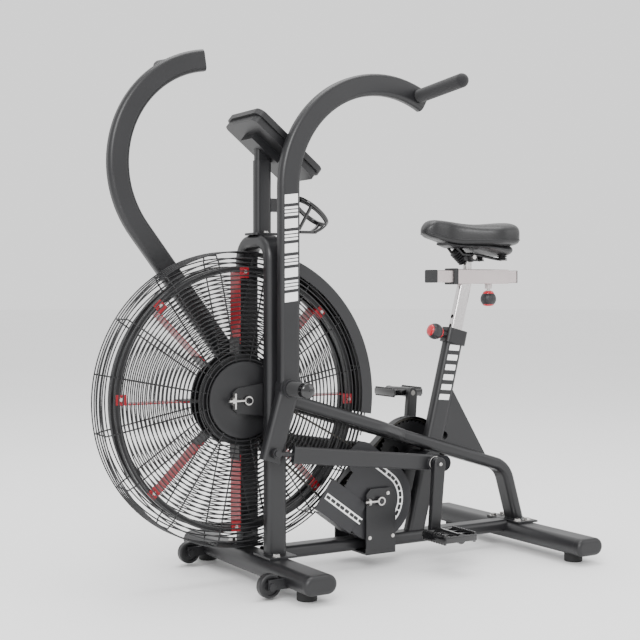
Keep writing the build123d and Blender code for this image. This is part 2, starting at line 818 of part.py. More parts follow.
# ================================================================ chain drive
def sprocket(x, z, teeth, y):
    """Plate with pointed teeth round its rim."""
    points = []
    for step in range(teeth * 2):
        radius = tip_radius(teeth) if step % 2 == 0 else tip_radius(teeth) - 2 * tooth_rise
        c, s = turned(step * 180.0 / teeth)
        points.append((x + radius * c, z + radius * s))
    face = make_face(Polyline(*points, close=True))
    return xz_plate(face, y - sprocket_thick / 2, y + sprocket_thick / 2)


def belt_face(x1, z1, r1, x2, z2, r2):
    """Outline round two wheels."""
    edges = (Pos(x1, z1) * Circle(r1)).edges() + (Pos(x2, z2) * Circle(r2)).edges()
    return make_hull(edges)


def chain_loop(x1, z1, teeth1, x2, z2, teeth2, y):
    """Closed chain, as a band just outside the teeth of both sprockets."""
    a = tip_radius(teeth1) + chain_clear
    b = tip_radius(teeth2) + chain_clear
    band = belt_face(x1, z1, a + chain_thick, x2, z2, b + chain_thick) - belt_face(x1, z1, a, x2, z2, b)
    return xz_plate(band, y - chain_wide / 2, y + chain_wide / 2)


def crank_chain():
    return chain_loop(crank_x, crank_z, crank_teeth, jack_x, jack_z, jack_small_teeth, crank_chain_y)


def fan_chain():
    return chain_loop(jack_x, jack_z, jack_big_teeth, fan_x, fan_axle_z, fan_teeth, fan_chain_y)


def jackshaft():
    """Hub with the small driven sprocket on the right and the big one on the left."""
    bore = jack_axle_radius + shaft_clear
    left = fan_chain_y - 10
    right = crank_chain_y + 8
    hub = y_disc(jack_x, jack_z, 18, left, right)
    hub += sprocket(jack_x, jack_z, jack_big_teeth, fan_chain_y)
    hub += sprocket(jack_x, jack_z, jack_small_teeth, crank_chain_y)
    hub -= y_disc(jack_x, jack_z, bore, -200, 200)
    for step in range(6):
        c, s = turned(step * 60)
        hub -= y_disc(jack_x + 48 * c, jack_z + 48 * s, 14, fan_chain_y - 5, fan_chain_y + 5)
    return hub


def jackshaft_bracket():
    """Two side plates and the strap that passes under the base rail, with the axle."""
    low = base_rail_z - tube_deep / 2
    outline = Polyline(
        (jack_x - 36, low - 4), (jack_x + 46, low - 4), (jack_x + 46, jack_z + 12),
        (jack_x + 34, jack_z + 29), (jack_x - 24, jack_z + 29), (jack_x - 36, jack_z + 16), close=True)
    face = make_face(outline)
    pieces = []
    left = xz_plate(face, -jack_plate_left - jack_plate_thick, -jack_plate_left)
    right = xz_plate(face, jack_plate_right, jack_plate_right + jack_plate_thick)
    strap_y = (jack_plate_right - jack_plate_left) / 2
    strap_long = jack_plate_right + jack_plate_left
    strap = Pos(jack_x + 5, strap_y, low - 2) * Box(82, strap_long, 4)
    bracket = left + right + strap
    bracket -= y_disc(jack_x, jack_z, jack_axle_radius, -200, 200)
    pieces.append(bracket)
    ends = (-jack_plate_left - jack_plate_thick - 12, jack_plate_right + jack_plate_thick + 12)
    axle = y_disc(jack_x, jack_z, jack_axle_radius, *ends)
    for y in (ends[0] + 4, ends[1] - 11):
        axle += y_disc(jack_x, jack_z, axle_nut_radius, y, y + 7)
    pieces.append(axle)
    return pieces


def drive_point(along, across):
    """Point on the fan chain's line, from the jackshaft towards the fan."""
    dx = fan_x - jack_x
    dz = fan_axle_z - jack_z
    span = hypot(dx, dz)
    ux = dx / span
    uz = dz / span
    return jack_x + along * ux - across * uz, jack_z + along * uz + across * ux


def strip_face(along_from, along_to, across_from, across_to):
    corners = []
    for a, b in ((along_from, across_from), (along_to, across_from), (along_to, across_to),
                 (along_from, across_to)):
        corners.append(drive_point(a, b))
    return make_face(Polyline(*corners, close=True))


def cover_shell(face, y_out, y_in, skin, inner):
    """Cover with a closed outer face at y_out and an open back at y_in."""
    block = xz_plate(face, min(y_out, y_in), max(y_out, y_in))
    step = skin if y_in > y_out else -skin
    pocket = xz_plate(inner, min(y_out + step, y_in + 2 * step), max(y_out + step, y_in + 2 * step))
    return block - pocket


def cage_room():
    """Space that the cage takes up, with a little clearance."""
    return y_disc(fan_x, fan_axle_z, cage_radius + 1.5, -cage_half - 0.8, cage_half)


def upper_chain_cover():
    """Round cover over the big sprocket, with a lobe that follows the upper run."""
    disc = Pos(jack_x, jack_z) * Circle(guard_radius)
    x1, z1 = drive_point(92, -57)
    lobe = Pos(x1, z1) * Circle(40)
    face = disc + lobe + strip_face(0, 92, -guard_radius, -17)
    disc_in = Pos(jack_x, jack_z) * Circle(guard_radius - guard_skin)
    lobe_in = Pos(x1, z1) * Circle(40 - guard_skin)
    inner = disc_in + lobe_in + strip_face(0, 92, -guard_radius + guard_skin, -17 - guard_skin)
    cover = cover_shell(face, -55.0, -15.0, guard_skin, inner)
    for mouth in (strip_face(60, 200, -80, 150), strip_face(0, 200, 55, 115)):
        cover -= xz_plate(mouth, -52.9, -10)
    cover = cover - cage_room() - y_disc(jack_x, jack_z, jack_axle_radius + 1, -60, 0)
    low = Pos(jack_x, 0, 0) * Box(400, 300, 2 * (base_rail_z + tube_deep / 2 + 1))
    cover -= low
    return cover.solids().sort_by(SortBy.VOLUME)[-1]


def lower_chain_cover():
    """Straight cover over the lower run, one step further out than the round one."""
    face = strip_face(22, 138, 24, 104)
    inner = strip_face(-10, 136, 26, 102)
    cover = cover_shell(face, -59.4, -15.0, guard_skin, inner)
    disc = y_disc(jack_x, jack_z, guard_radius + 1, -56, 0)
    mouth = xz_plate(strip_face(100, 200, 26, 102), -57, -10)
    low = Pos(jack_x, 0, 0) * Box(500, 300, 2 * (base_rail_z + tube_deep / 2 + 1))
    cover = cover - disc - mouth - low - cage_room()
    return cover.solids().sort_by(SortBy.VOLUME)[-1]


def crank_chain_guard():
    """Guard behind the crank's chain: outer plate and rim, open towards the left."""
    back = crank_chain_y + 13
    front = crank_chain_y - 12
    outer = belt_face(crank_x, crank_z, crank_guard_radius, jack_x, jack_z, 52)
    inner = belt_face(crank_x, crank_z, crank_guard_radius - guard_skin, jack_x, jack_z, 52 - guard_skin)
    shell = cover_shell(outer, back, front, guard_skin, inner)
    shell -= y_disc(crank_x, crank_z, spindle_radius + 4, 0, 200)
    shell -= y_disc(jack_x, jack_z, 10, 0, 200)
    return shell


# ================================================================ fan
def fan_hub():
    half = blade_width / 2
    core = y_disc(fan_x, fan_axle_z, 22, -half - 2, half + 2)
    for y in (-half - 2, half):
        core += y_disc(fan_x, fan_axle_z, hub_radius, y, y + 2)
    core += blade_arms(half)
    core += sprocket(fan_x, fan_axle_z, fan_teeth, fan_chain_y)
    core += y_disc(fan_x, fan_axle_z, 16, fan_chain_y, -half)
    core -= y_disc(fan_x, fan_axle_z, fan_axle_radius + shaft_clear, -200, 200)
    return core


def blade_sheet(last):
    return Pos((blade_inner + last) / 2, 0, 0) * Box(last - blade_inner, blade_width, blade_thick)


def blade_arms(half):
    """Slotted arms between the hub's discs; each grips the inner end of one blade."""
    first = hub_radius - 12
    arm = Pos((first + blade_arm_end) / 2, 0, 0) * Box(blade_arm_end - first, 2 * half, blade_arm_thick)
    arm -= blade_sheet(hoop_radius)
    arms = []
    for step in range(blade_count):
        arms.append(Pos(fan_x, 0, fan_axle_z) * Rot(0, -step * 360.0 / blade_count, 0) * arm)
    return arms


def fan_blades():
    """Flat paddles, each with a folded tab bolted to the left hoop."""
    last = hoop_radius - 0.4
    blade = blade_sheet(last)
    tab_y = -blade_width / 2 + blade_thick / 2
    tab_z = -blade_tab_fold / 2
    tab = Pos(hoop_radius - 1, tab_y, tab_z) * Box(blade_tab, blade_thick, blade_tab_fold)
    bolt = Pos(hoop_radius + 1, -blade_width / 2 - 1, tab_z - 1) * Rot(90, 0, 0) * Cylinder(5, 3)
    one = blade + tab + bolt
    blades = []
    for step in range(blade_count):
        turn = Pos(fan_x, 0, fan_axle_z) * Rot(0, -step * 360.0 / blade_count, 0)
        blades.append(turn * one)
    return blades


def fan_hoops():
    hoops = []
    for y in (-blade_width / 2 + blade_thick, blade_width / 2 - hoop_width):
        hoops.append(y_ring(fan_x, fan_axle_z, hoop_radius + hoop_deep, hoop_radius, y, y + hoop_width))
    return hoops


def fan_axle():
    end = fork_gap / 2 + 20
    axle = y_disc(fan_x, fan_axle_z, fan_axle_radius, -end, end)
    for side in (-1, 1):
        nut_y = sorted((side * (fork_gap / 2 + 6.2), side * (fork_gap / 2 + 14)))
        axle += y_disc(fan_x, fan_axle_z, axle_nut_radius, *nut_y)
    return axle


def axle_plate(side):
    """Plate welded to the fork leg, holding one end of the fan axle."""
    outline = Polyline(
        (fork_x - tube_wide / 2, fan_axle_z - 36), (fork_x - tube_wide / 2, fan_axle_z + 36),
        (fan_x - 24, fan_axle_z + 28), (fan_x - 36, fan_axle_z + 18),
        (fan_x - 36, fan_axle_z - 18), (fan_x - 24, fan_axle_z - 28), close=True)
    y_in = side * (fork_gap / 2)
    y_out = side * (fork_gap / 2 + 6)
    plate = xz_plate(make_face(outline), min(y_in, y_out), max(y_in, y_out))
    plate -= y_disc(fan_x, fan_axle_z, fan_axle_radius, -200, 200)
    return plate - rod_along((fan_x - 60, side * (fork_gap / 2 + 12), fan_axle_z),
                             (fan_x - 20, side * (fork_gap / 2 + 12), fan_axle_z), 3.2)


def chain_tensioners():
    """Eye screws that pull the fan axle and the jackshaft axle forward."""
    pieces = []
    spots = ((fan_x, fan_axle_z, -(fork_gap / 2 + 12), 32), (fan_x, fan_axle_z, fork_gap / 2 + 12, 32),
             (jack_x, jack_z, -(jack_plate_left + 13), 28), (jack_x, jack_z, jack_plate_right + 13, 28))
    for x, z, y, reach in spots:
        eye = y_ring(x, z, eye_outer, eye_inner, y - 2.5, y + 2.5)
        shank = rod_along((x - eye_inner, y, z), (x - reach - 16, y, z), 3.0)
        shank -= y_disc(x, z, eye_inner, -200, 200)
        nut = rod_along((x - reach - 4, y, z), (x - reach - 10, y, z), 8.5)
        pieces.append(eye + shank + nut)
    for side in (-1, 1):
        bar_y = side * (fork_gap / 2 + 6 + tension_bar_wide / 2)
        bar = Pos(fan_x - 34, bar_y, fan_axle_z) * Box(4, tension_bar_wide, tension_bar_tall)
        bar -= rod_along((fan_x - 60, side * (fork_gap / 2 + 12), fan_axle_z),
                         (fan_x - 20, side * (fork_gap / 2 + 12), fan_axle_z), 3.1)
        pieces.append(bar)
    return pieces


# ================================================================ cage
def cage_ring(radius, y, thick=wire_radius):
    section = Plane.XZ * (Pos(radius, 0) * RegularPolygon(thick, wire_sides))
    return Pos(fan_x, y, fan_axle_z) * Rot(90, 0, 0) * revolve(section, Axis.Z)


def spoke_angles():
    return [step * 360.0 / spoke_count + 11.25 for step in range(spoke_count)]


def fan_guard(side):
    """Side grille: radial wires, rings welded on their outside, and the pressed centre disc."""
    spoke_y = side * (cage_half - 3 * wire_radius)
    ring_y = side * (cage_half - wire_radius)
    inner_y = side * (cage_half - 2 * wire_radius)
    disc = y_ring(fan_x, fan_axle_z, guard_disc_radius, 12, *sorted((inner_y, inner_y + side * 3)))
    wires = [disc]
    first = guard_disc_radius + 10
    last = cage_radius - 14
    for angle in spoke_angles():
        c, s = turned(angle)
        a = (fan_x + (guard_disc_radius - 8) * c, spoke_y, fan_axle_z + (guard_disc_radius - 8) * s)
        b = (fan_x + last * c, spoke_y, fan_axle_z + last * s)
        wires.append(rod_along(a, b, wire_radius))
    ring_gap = (last - wire_radius - first) / (ring_count - 1)
    for step in range(ring_count):
        wires.append(cage_ring(first + step * ring_gap, ring_y))
    return wires


def fan_guard_rim():
    """Drum between the two grilles: hoops over bent cross wires, open where the chain leaves."""
    wires = []
    drum = cage_radius - 3 * wire_radius
    corner = cage_radius - 14 - wire_radius
    shoulder = cage_half - 10
    flank = cage_half - 5 * wire_radius
    for angle in spoke_angles():
        c, s = turned(angle)
        a = (fan_x + drum * c, -shoulder, fan_axle_z + drum * s)
        b = (fan_x + drum * c, shoulder, fan_axle_z + drum * s)
        wire = rod_along(a, b, wire_radius)
        for side in (-1, 1):
            p = (fan_x + drum * c, side * shoulder, fan_axle_z + drum * s)
            q = (fan_x + corner * c, side * flank, fan_axle_z + corner * s)
            wire += rod_along(p, q, wire_radius)
            wire += Pos(*p) * Sphere(wire_radius)
        wires.append(wire)
    chain_door = xz_plate(strip_face(50, 140, -105, 105), -60, -20)
    for y in (-30, -15, 0, 15, 30):
        hoop = cage_ring(cage_radius - wire_radius, y)
        wires.append(hoop - chain_door if y < -20 else hoop)
    open_wires = []
    for wire in wires:
        cut = wire - chain_door if (wire.center().Y < 1) else wire
        open_wires += list(cut.solids())
    return open_wires


def wind_guard():
    """Curved channel round the upper rear of the cage."""
    angle = wind_guard_top - wind_guard_end
    outer = wind_guard_radius + wind_guard_skin
    c, s = turned(wind_guard_end)
    start = Plane(origin=(fan_x, 0, fan_axle_z), x_dir=(c, 0, s), z_dir=(s, 0, -c))
    turn = Axis((fan_x, 0, fan_axle_z), (0, -1, 0))
    middle = (outer + cage_radius - 22) / 2
    deep = outer - (cage_radius - 22)
    half = wind_guard_half
    face = Pos(middle, 0) * Rectangle(deep, 2 * half)
    face -= Pos(middle - wind_guard_skin, 0) * Rectangle(deep, 2 * half - 2 * wind_guard_skin)
    return revolve(start * face, axis=turn, revolution_arc=angle)


# ================================================================ console and bottle cage
def console_mast():
    foot = crown_z + tube_deep / 2 + plate_thick
    face = Plane.XY.offset(foot) * RectangleRounded(mast_wide, mast_deep, 9)
    mast = Pos(mast_x, 0, 0) * extrude(face, mast_top_z - foot)
    void_size = (mast_wide - 2 * mast_wall, mast_deep - 2 * mast_wall)
    void = Plane.XY.offset(foot - 1) * RectangleRounded(*void_size, 7)
    mast -= Pos(mast_x, 0, 0) * extrude(void, mast_top_z - foot + 2)
    plate = Pos(mast_x, 0, foot - plate_thick / 2) * Box(66, 56, plate_thick)
    arm_from = mast_x + mast_wide / 2 - mast_wall
    arm_to = bottle_x - bottle_radius - bottle_wall
    arm = Pos((arm_from + arm_to) / 2, 0, bottle_z + 22) * Box(arm_to - arm_from, 20, 30)
    return mast + fillet(plate.edges().filter_by(Axis.Z), 9) + arm


def tilted(dx, dy, dz):
    """Place in the console: dx back along its face, dz out of its face."""
    return Pos(console_x, 0, console_z) * Rot(0, console_tilt, 0) * Pos(dx, dy, dz)


def console_back():
    """Rear shell with its bracket socket."""
    shell = Box(console_long - 10, console_wide - 10, console_thick)
    shell = fillet(shell.edges().filter_by(Axis.Z), 16)
    body = tilted(0, 0, -console_thick / 2) * shell
    socket = tilted(-20, 0, -console_thick - 8) * Box(84, 56, 16)
    inside = 2 * mast_wall + 0.8
    neck_size = (mast_wide - inside, mast_deep - inside)
    neck_face = Plane.XY.offset(mast_top_z - 12) * RectangleRounded(*neck_size, 6.6)
    neck = Pos(mast_x, 0, 0) * extrude(neck_face, 52)
    grip = body + socket - Pos(mast_x, 0, mast_top_z - 40) * Box(mast_wide, mast_deep, 80)
    cut_top = tilted(0, 0, 60) * Box(400, 300, 120)
    neck = neck - cut_top
    return grip + neck


def console_face():
    """Front bezel with the display window and two button holes."""
    plate = Box(console_long, console_wide, 14)
    plate = fillet(plate.edges().filter_by(Axis.Z), 20)
    bezel = tilted(0, 0, 7) * plate
    bezel -= tilted(-28, 0, 13) * Box(110, 96, 4)
    bezel -= tilted(-28, 0, 10.5) * Box(96, 82, 9)
    for side in (-1, 1):
        bezel -= tilted(62, side * 28, 9) * Cylinder(button_radius + 0.35, 20)
    return bezel


def console_screen():
    return tilted(-28, 0, 11.8) * Box(109.2, 95.2, 1.6)


def console_button(side):
    key = Cylinder(button_radius, 8)
    return tilted(62, side * 28, 12.6) * key


def bottle_cage():
    """Moulded cage: back plate, two hoops round the bottle and a foot."""
    outer = bottle_radius + bottle_wall
    ring = Cylinder(outer, 14) - Cylinder(bottle_radius, 20)
    ring = Pos(bottle_x, 0, bottle_z + 40) * ring
    low = Cylinder(outer, 10) - Cylinder(bottle_radius, 20)
    low = Pos(bottle_x, 0, bottle_z - 26) * low
    back = Pos(bottle_x - outer + bottle_wall / 2, 0, bottle_z + 3) * Box(bottle_wall, 26, 88)
    left = Pos(bottle_x + 20, -bottle_radius + 6, bottle_z + 6) * Rot(0, 0, 25) * Box(12, 5, 76)
    right = Pos(bottle_x + 20, bottle_radius - 6, bottle_z + 6) * Rot(0, 0, -25) * Box(12, 5, 76)
    void = Pos(bottle_x, 0, bottle_z) * Cylinder(bottle_radius, 300)
    cage = ring + low + (back - void) + (left - void) + (right - void)
    foot = Pos(bottle_x, 0, bottle_z - 40) * Cylinder(bottle_radius - 6, 5)
    foot += Pos(bottle_x - 26, 0, bottle_z - 38) * Box(28, 22, 9)
    foot += Pos(bottle_x + 26, 0, bottle_z - 38) * Box(28, 22, 9)
    return (cage + foot).solids().sort_by(SortBy.VOLUME)[-1]


# ================================================================ wheels, feet, bolts
def transport_wheel(side):
    y = side * wheel_y
    rim = y_disc(wheel_x, wheel_z, wheel_radius, y - wheel_wide / 2, y + wheel_wide / 2)
    rim = fillet(rim.faces().filter_by(Axis.Y).edges(), 4)
    for face_y in (y - wheel_wide / 2, y + wheel_wide / 2):
        rim -= y_ring(wheel_x, wheel_z, 19, 11, face_y - 3, face_y + 3)
    return rim - y_disc(wheel_x, wheel_z, 5.0 + shaft_clear, y - 30, y + 30)


def wheel_fork(side):
    """Bracket on the front of the stabiliser, with the wheel's bolt."""
    y = side * wheel_y
    pieces = []
    outside = y - side * (wheel_wide / 2 + 4.6)
    low = front_x - 30
    arm = Pos((wheel_x - 9 + low) / 2, outside, wheel_z + 4) * Box(low - wheel_x + 9, 5, 22)
    far = y + side * (wheel_wide / 2 + 4.6)
    arm2 = Pos((wheel_x - 9 + low) / 2, far, wheel_z + 4) * Box(low - wheel_x + 9, 5, 22)
    bracket = arm + arm2 - stabiliser_body(front_x)
    bolt_y = sorted((outside - side * 6, far + side * 6))
    bolt = y_disc(wheel_x, wheel_z, 5.0, *bolt_y)
    bolt += y_disc(wheel_x, wheel_z, 8.0, bolt_y[0], bolt_y[0] + 3.3)
    bolt += y_disc(wheel_x, wheel_z, 8.0, bolt_y[1] - 3.3, bolt_y[1])
    bracket -= y_disc(wheel_x, wheel_z, 5.0, -400, 400)
    pieces += list(bracket.solids())
    pieces.append(bolt)
    return pieces


def frame_bolts():
    """Zinc bolt heads that hold the fork, the mast, the rear tube and the brackets."""
    bolts = []
    top = stabiliser_top + plate_thick
    for side in (-1, 1):
        bolts.append(hex_bolt((front_x, side * (fork_y + 40), top), (0, 0, 1)))
        for dx in (-20, 10):
            bolts.append(hex_bolt((rear_foot_x - 8 + dx, side * 48, top), (0, 0, 1)))
        mast_bolt = (mast_x - 1, side * 21, crown_z + tube_deep / 2 + plate_thick)
        bolts.append(hex_bolt(mast_bolt, (0, 0, 1), 5, 4))
    plate_y = -jack_plate_left - jack_plate_thick
    for dx, dz in ((-27, -86), (38, -86), (24, 16)):
        bolts.append(hex_bolt((jack_x + dx, plate_y, jack_z + dz), (0, -1, 0), 3.6, 3))
        far_y = jack_plate_right + jack_plate_thick
        bolts.append(hex_bolt((jack_x + dx, far_y, jack_z + dz), (0, 1, 0), 3.6, 3))
    return bolts


# ================================================================ build everything
def main():
    os.makedirs("parts", exist_ok=True)
    save("front_stabiliser", stabiliser(front_x))
    save("rear_stabiliser", stabiliser(rear_x))
    caps = [stabiliser_cap(x, side) for x in (front_x, rear_x) for side in (-1, 1)]
    save("stabiliser_end_caps", caps)
    half = foot_spacing / 2
    save("rubber_feet", [rubber_foot(x, side * half) for x in (front_x, rear_x) for side in (-1, 1)])
    save("base_rail", base_rail())
    save("front_fork", front_fork())
    save("upper_rails", upper_rails())
    save("rear_tube", rear_tube())
    save("seat_tube", seat_tube())
    save("lower_strut", lower_strut())
    save("seat_gusset", seat_gusset())
    save("seat_collar", seat_collar())
    save("console_mast", console_mast())
    save("console_back", console_back())
    save("console_face", console_face())
    save("console_screen", console_screen())
    save("left_button", console_button(-1))
    save("right_button", console_button(1))
    save("bottle_cage", bottle_cage())
    save("left_fan_guard", fan_guard(-1))
    save("right_fan_guard", fan_guard(1))
    save("fan_guard_rim", fan_guard_rim())
    save("wind_guard", wind_guard())
    save("axle_plates", [axle_plate(-1), axle_plate(1)])
    save("fan_axle", fan_axle())
    save("chain_tensioners", chain_tensioners())
    save("jackshaft_bracket", jackshaft_bracket())
    save("upper_chain_cover", upper_chain_cover())
    save("lower_chain_cover", lower_chain_cover())
    save("crank_chain_guard", crank_chain_guard())
    save("crank_chain", crank_chain())
    save("fan_chain", fan_chain())
    save("frame_bolts", frame_bolts())
    save("pivot_shafts", pivot_shafts())
    save("foot_pegs", foot_pegs())
    save("wheel_forks", wheel_fork(-1) + wheel_fork(1))
    save("left_transport_wheel", transport_wheel(-1))
    save("right_transport_wheel", transport_wheel(1))
    save("fan_hub", fan_hub())
    save("fan_blades", fan_blades())
    save("fan_hoops", fan_hoops())
    save("jackshaft", jackshaft())
    save("crank_spindle", crank_spindle())
    save("crank_sprocket", crank_sprocket())
    save("crank_arms", [crank_arm(-1), crank_arm(1)])
    save("left_push_rod", push_rod(-1))
    save("right_push_rod", push_rod(1))
    save("left_pedal", pedal(-1))
    save("right_pedal", pedal(1))
    save("left_arm", swing_arm_left())
    save("right_arm", to_right(swing_arm_left()))
    save("left_grip", grip_left())
    save("right_grip", to_right(grip_left()))
    save("seat_post", seat_post())
    save("slider_sleeve", slider_sleeve())
    save("slider_tube", slider_tube())
    save("saddle_clamp", saddle_clamp())
    save("saddle_cushion", saddle_cushion())
    save("height_knob", height_knob())
    save("slider_knob", slider_knob())
    print("arm swing", round(arm_swing(), 2), "rod", round(rod_span(), 1))


if __name__ == "__main__":
    main()
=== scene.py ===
import json
import math

import bmesh
import bpy
from mathutils import Matrix, Vector


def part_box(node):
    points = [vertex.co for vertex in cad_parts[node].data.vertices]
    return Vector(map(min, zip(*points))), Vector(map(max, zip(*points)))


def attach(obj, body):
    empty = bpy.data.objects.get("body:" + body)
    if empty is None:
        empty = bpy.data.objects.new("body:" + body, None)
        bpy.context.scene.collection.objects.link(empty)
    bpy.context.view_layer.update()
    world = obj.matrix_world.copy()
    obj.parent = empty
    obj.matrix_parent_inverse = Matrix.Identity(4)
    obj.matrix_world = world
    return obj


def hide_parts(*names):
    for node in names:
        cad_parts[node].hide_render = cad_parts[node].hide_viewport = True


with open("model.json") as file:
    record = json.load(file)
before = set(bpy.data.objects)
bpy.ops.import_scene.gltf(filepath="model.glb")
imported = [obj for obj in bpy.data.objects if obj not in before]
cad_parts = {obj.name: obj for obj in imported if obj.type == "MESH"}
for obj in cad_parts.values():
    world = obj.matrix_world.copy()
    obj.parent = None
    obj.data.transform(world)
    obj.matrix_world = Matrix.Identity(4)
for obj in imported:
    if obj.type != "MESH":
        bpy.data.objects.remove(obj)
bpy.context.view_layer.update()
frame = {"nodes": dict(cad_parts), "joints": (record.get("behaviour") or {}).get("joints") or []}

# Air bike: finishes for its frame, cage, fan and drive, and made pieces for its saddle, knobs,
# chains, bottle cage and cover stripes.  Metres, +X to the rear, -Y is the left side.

NODES = frame["nodes"]
JOINTS = {joint["name"]: joint for joint in frame["joints"]}
MM = 0.001


# ---------------------------------------------------------------- finishes
def linear(code):
    """sRGB hex colour to linear red, green, blue and 1."""
    parts = [int(code[i:i + 2], 16) / 255 for i in (1, 3, 5)]
    return [c / 12.92 if c <= 0.04045 else ((c + 0.055) / 1.055) ** 2.4 for c in parts] + [1.0]


def add(tree, kind, inputs=(), links=(), **settings):
    """Adds one shader node, sets its properties and sockets, and links it to earlier nodes."""
    node = tree.nodes.new("ShaderNode" + kind)
    for name, value in settings.items():
        setattr(node, name, value)
    for name, value in dict(inputs).items():
        node.inputs[name].default_value = value
    for source, output, name in links:
        tree.links.new(source.outputs[output], node.inputs[name])
    return node


def blank_finish(name):
    """Empty material with its tree and the piece's own coordinates in metres."""
    finish = bpy.data.materials.new(name)
    finish.use_nodes = True
    finish.node_tree.nodes.clear()
    return finish, finish.node_tree, add(finish.node_tree, "TexCoord")


def noise(tree, place, size, detail=2.0):
    """Smooth random pattern whose patches are about one size across."""
    return add(tree, "TexNoise", {"Scale": 1 / size, "Detail": detail}, [(place, "Object", "Vector")])


def tinted(shade, share):
    """Hex colour made darker or lighter by a share."""
    return [c * share for c in linear(shade)[:3]] + [1.0]


def two_tones(tree, pattern, first, second):
    """Colour that runs from one tone to another with a noise pattern."""
    ramp = add(tree, "ValToRGB", (), [(pattern, "Fac", "Fac")])
    ramp.color_ramp.elements[0].color = first
    ramp.color_ramp.elements[1].color = second
    return ramp


def close_finish(finish, tree, surface):
    add(tree, "OutputMaterial", links=[(surface, "BSDF", "Surface")])
    return finish


def powder_coat(name, shade, worn, roughness):
    """Polyester powder coat, baked on steel: a satin film with 3 mm orange peel, softly rounded
    edges where the film thins and looks a little lighter, and a faint cloudiness."""
    finish, tree, place = blank_finish(name)
    peel = noise(tree, place, 3 * MM, 2.0)
    cloud = noise(tree, place, 120 * MM, 3.0)
    rounded = add(tree, "Bevel", {"Radius": 1.2 * MM}, samples=4)
    true_face = add(tree, "NewGeometry")
    flat = add(tree, "VectorMath", (), [(rounded, "Normal", 0), (true_face, "Normal", 1)],
               operation="DOT_PRODUCT")
    edge = add(tree, "MapRange", {"From Min": 0.995, "From Max": 0.9}, [(flat, "Value", "Value")])
    cloudy = two_tones(tree, cloud, tinted(shade, 0.88), tinted(shade, 1.12))
    cloudy.color_ramp.elements[0].position = 0.3
    cloudy.color_ramp.elements[1].position = 0.7
    colour = add(tree, "MixRGB", {"Color2": linear(worn)},
                 [(edge, "Result", "Fac"), (cloudy, "Color", "Color1")])
    sheen = add(tree, "MapRange", {"To Min": roughness - 0.05, "To Max": roughness + 0.06},
                [(cloud, "Fac", "Value")])
    bump = add(tree, "Bump", {"Strength": 0.25, "Distance": 0.15 * MM},
               [(peel, "Fac", "Height"), (rounded, "Normal", "Normal")])
    coat = add(tree, "BsdfPrincipled", {"IOR": 1.5},
               [(colour, "Color", "Base Color"), (sheen, "Result", "Roughness"),
                (bump, "Normal", "Normal")])
    return close_finish(finish, tree, coat)


def wire_enamel():
    """Dipped black enamel on steel wire: glossier than the frame, with thin highlights."""
    finish, tree, place = blank_finish("black_wire_enamel")
    runs = noise(tree, place, 14 * MM, 2.0)
    colour = two_tones(tree, runs, linear("#0c0c0e"), linear("#141417"))
    gloss = add(tree, "MapRange", {"To Min": 0.24, "To Max": 0.36}, [(runs, "Fac", "Value")])
    coat = add(tree, "BsdfPrincipled", {"IOR": 1.52},
               [(colour, "Color", "Base Color"), (gloss, "Result", "Roughness")])
    return close_finish(finish, tree, coat)


def red_paint(name, shade, roughness):
    """Sprayed red enamel on sheet steel: fine orange peel, slightly darker in patches."""
    finish, tree, place = blank_finish(name)
    peel = noise(tree, place, 4 * MM, 2.0)
    patch = noise(tree, place, 60 * MM)
    colour = two_tones(tree, patch, tinted(shade, 0.85), linear(shade))
    bump = add(tree, "Bump", {"Strength": 0.2, "Distance": 0.1 * MM}, [(peel, "Fac", "Height")])
    coat = add(tree, "BsdfPrincipled", {"Roughness": roughness, "IOR": 1.5, "Coat Weight": 0.25},
               [(colour, "Color", "Base Color"), (bump, "Normal", "Normal")])
    return close_finish(finish, tree, coat)


def bright_zinc():
    """Electroplated zinc on turned steel: pale grey with fine turning marks and dull patches."""
    finish, tree, place = blank_finish("bright_zinc")
    turned = noise(tree, place, 2 * MM, 4.0)
    patch = noise(tree, place, 9 * MM)
    colour = two_tones(tree, patch, linear("#b9b7b4"), linear("#dcdad8"))
    gloss = add(tree, "MapRange", {"To Min": 0.2, "To Max": 0.38}, [(turned, "Fac", "Value")])
    bump = add(tree, "Bump", {"Strength": 0.15, "Distance": 0.05 * MM}, [(turned, "Fac", "Height")])
    metal = add(tree, "BsdfPrincipled", {"Metallic": 1.0},
                [(colour, "Color", "Base Color"), (gloss, "Result", "Roughness"),
                 (bump, "Normal", "Normal")])
    return close_finish(finish, tree, metal)


def satin_chrome():
    """Hard chrome on the seat post: bright, nearly smooth, with faint lengthwise draw marks."""
    finish, tree, place = blank_finish("satin_chrome")
    marks = noise(tree, place, 5 * MM, 3.0)
    colour = two_tones(tree, marks, linear("#c9c5c5"), linear("#e6e2e2"))
    gloss = add(tree, "MapRange", {"To Min": 0.14, "To Max": 0.26}, [(marks, "Fac", "Value")])
    metal = add(tree, "BsdfPrincipled", {"Metallic": 1.0},
                [(colour, "Color", "Base Color"), (gloss, "Result", "Roughness")])
    return close_finish(finish, tree, metal)


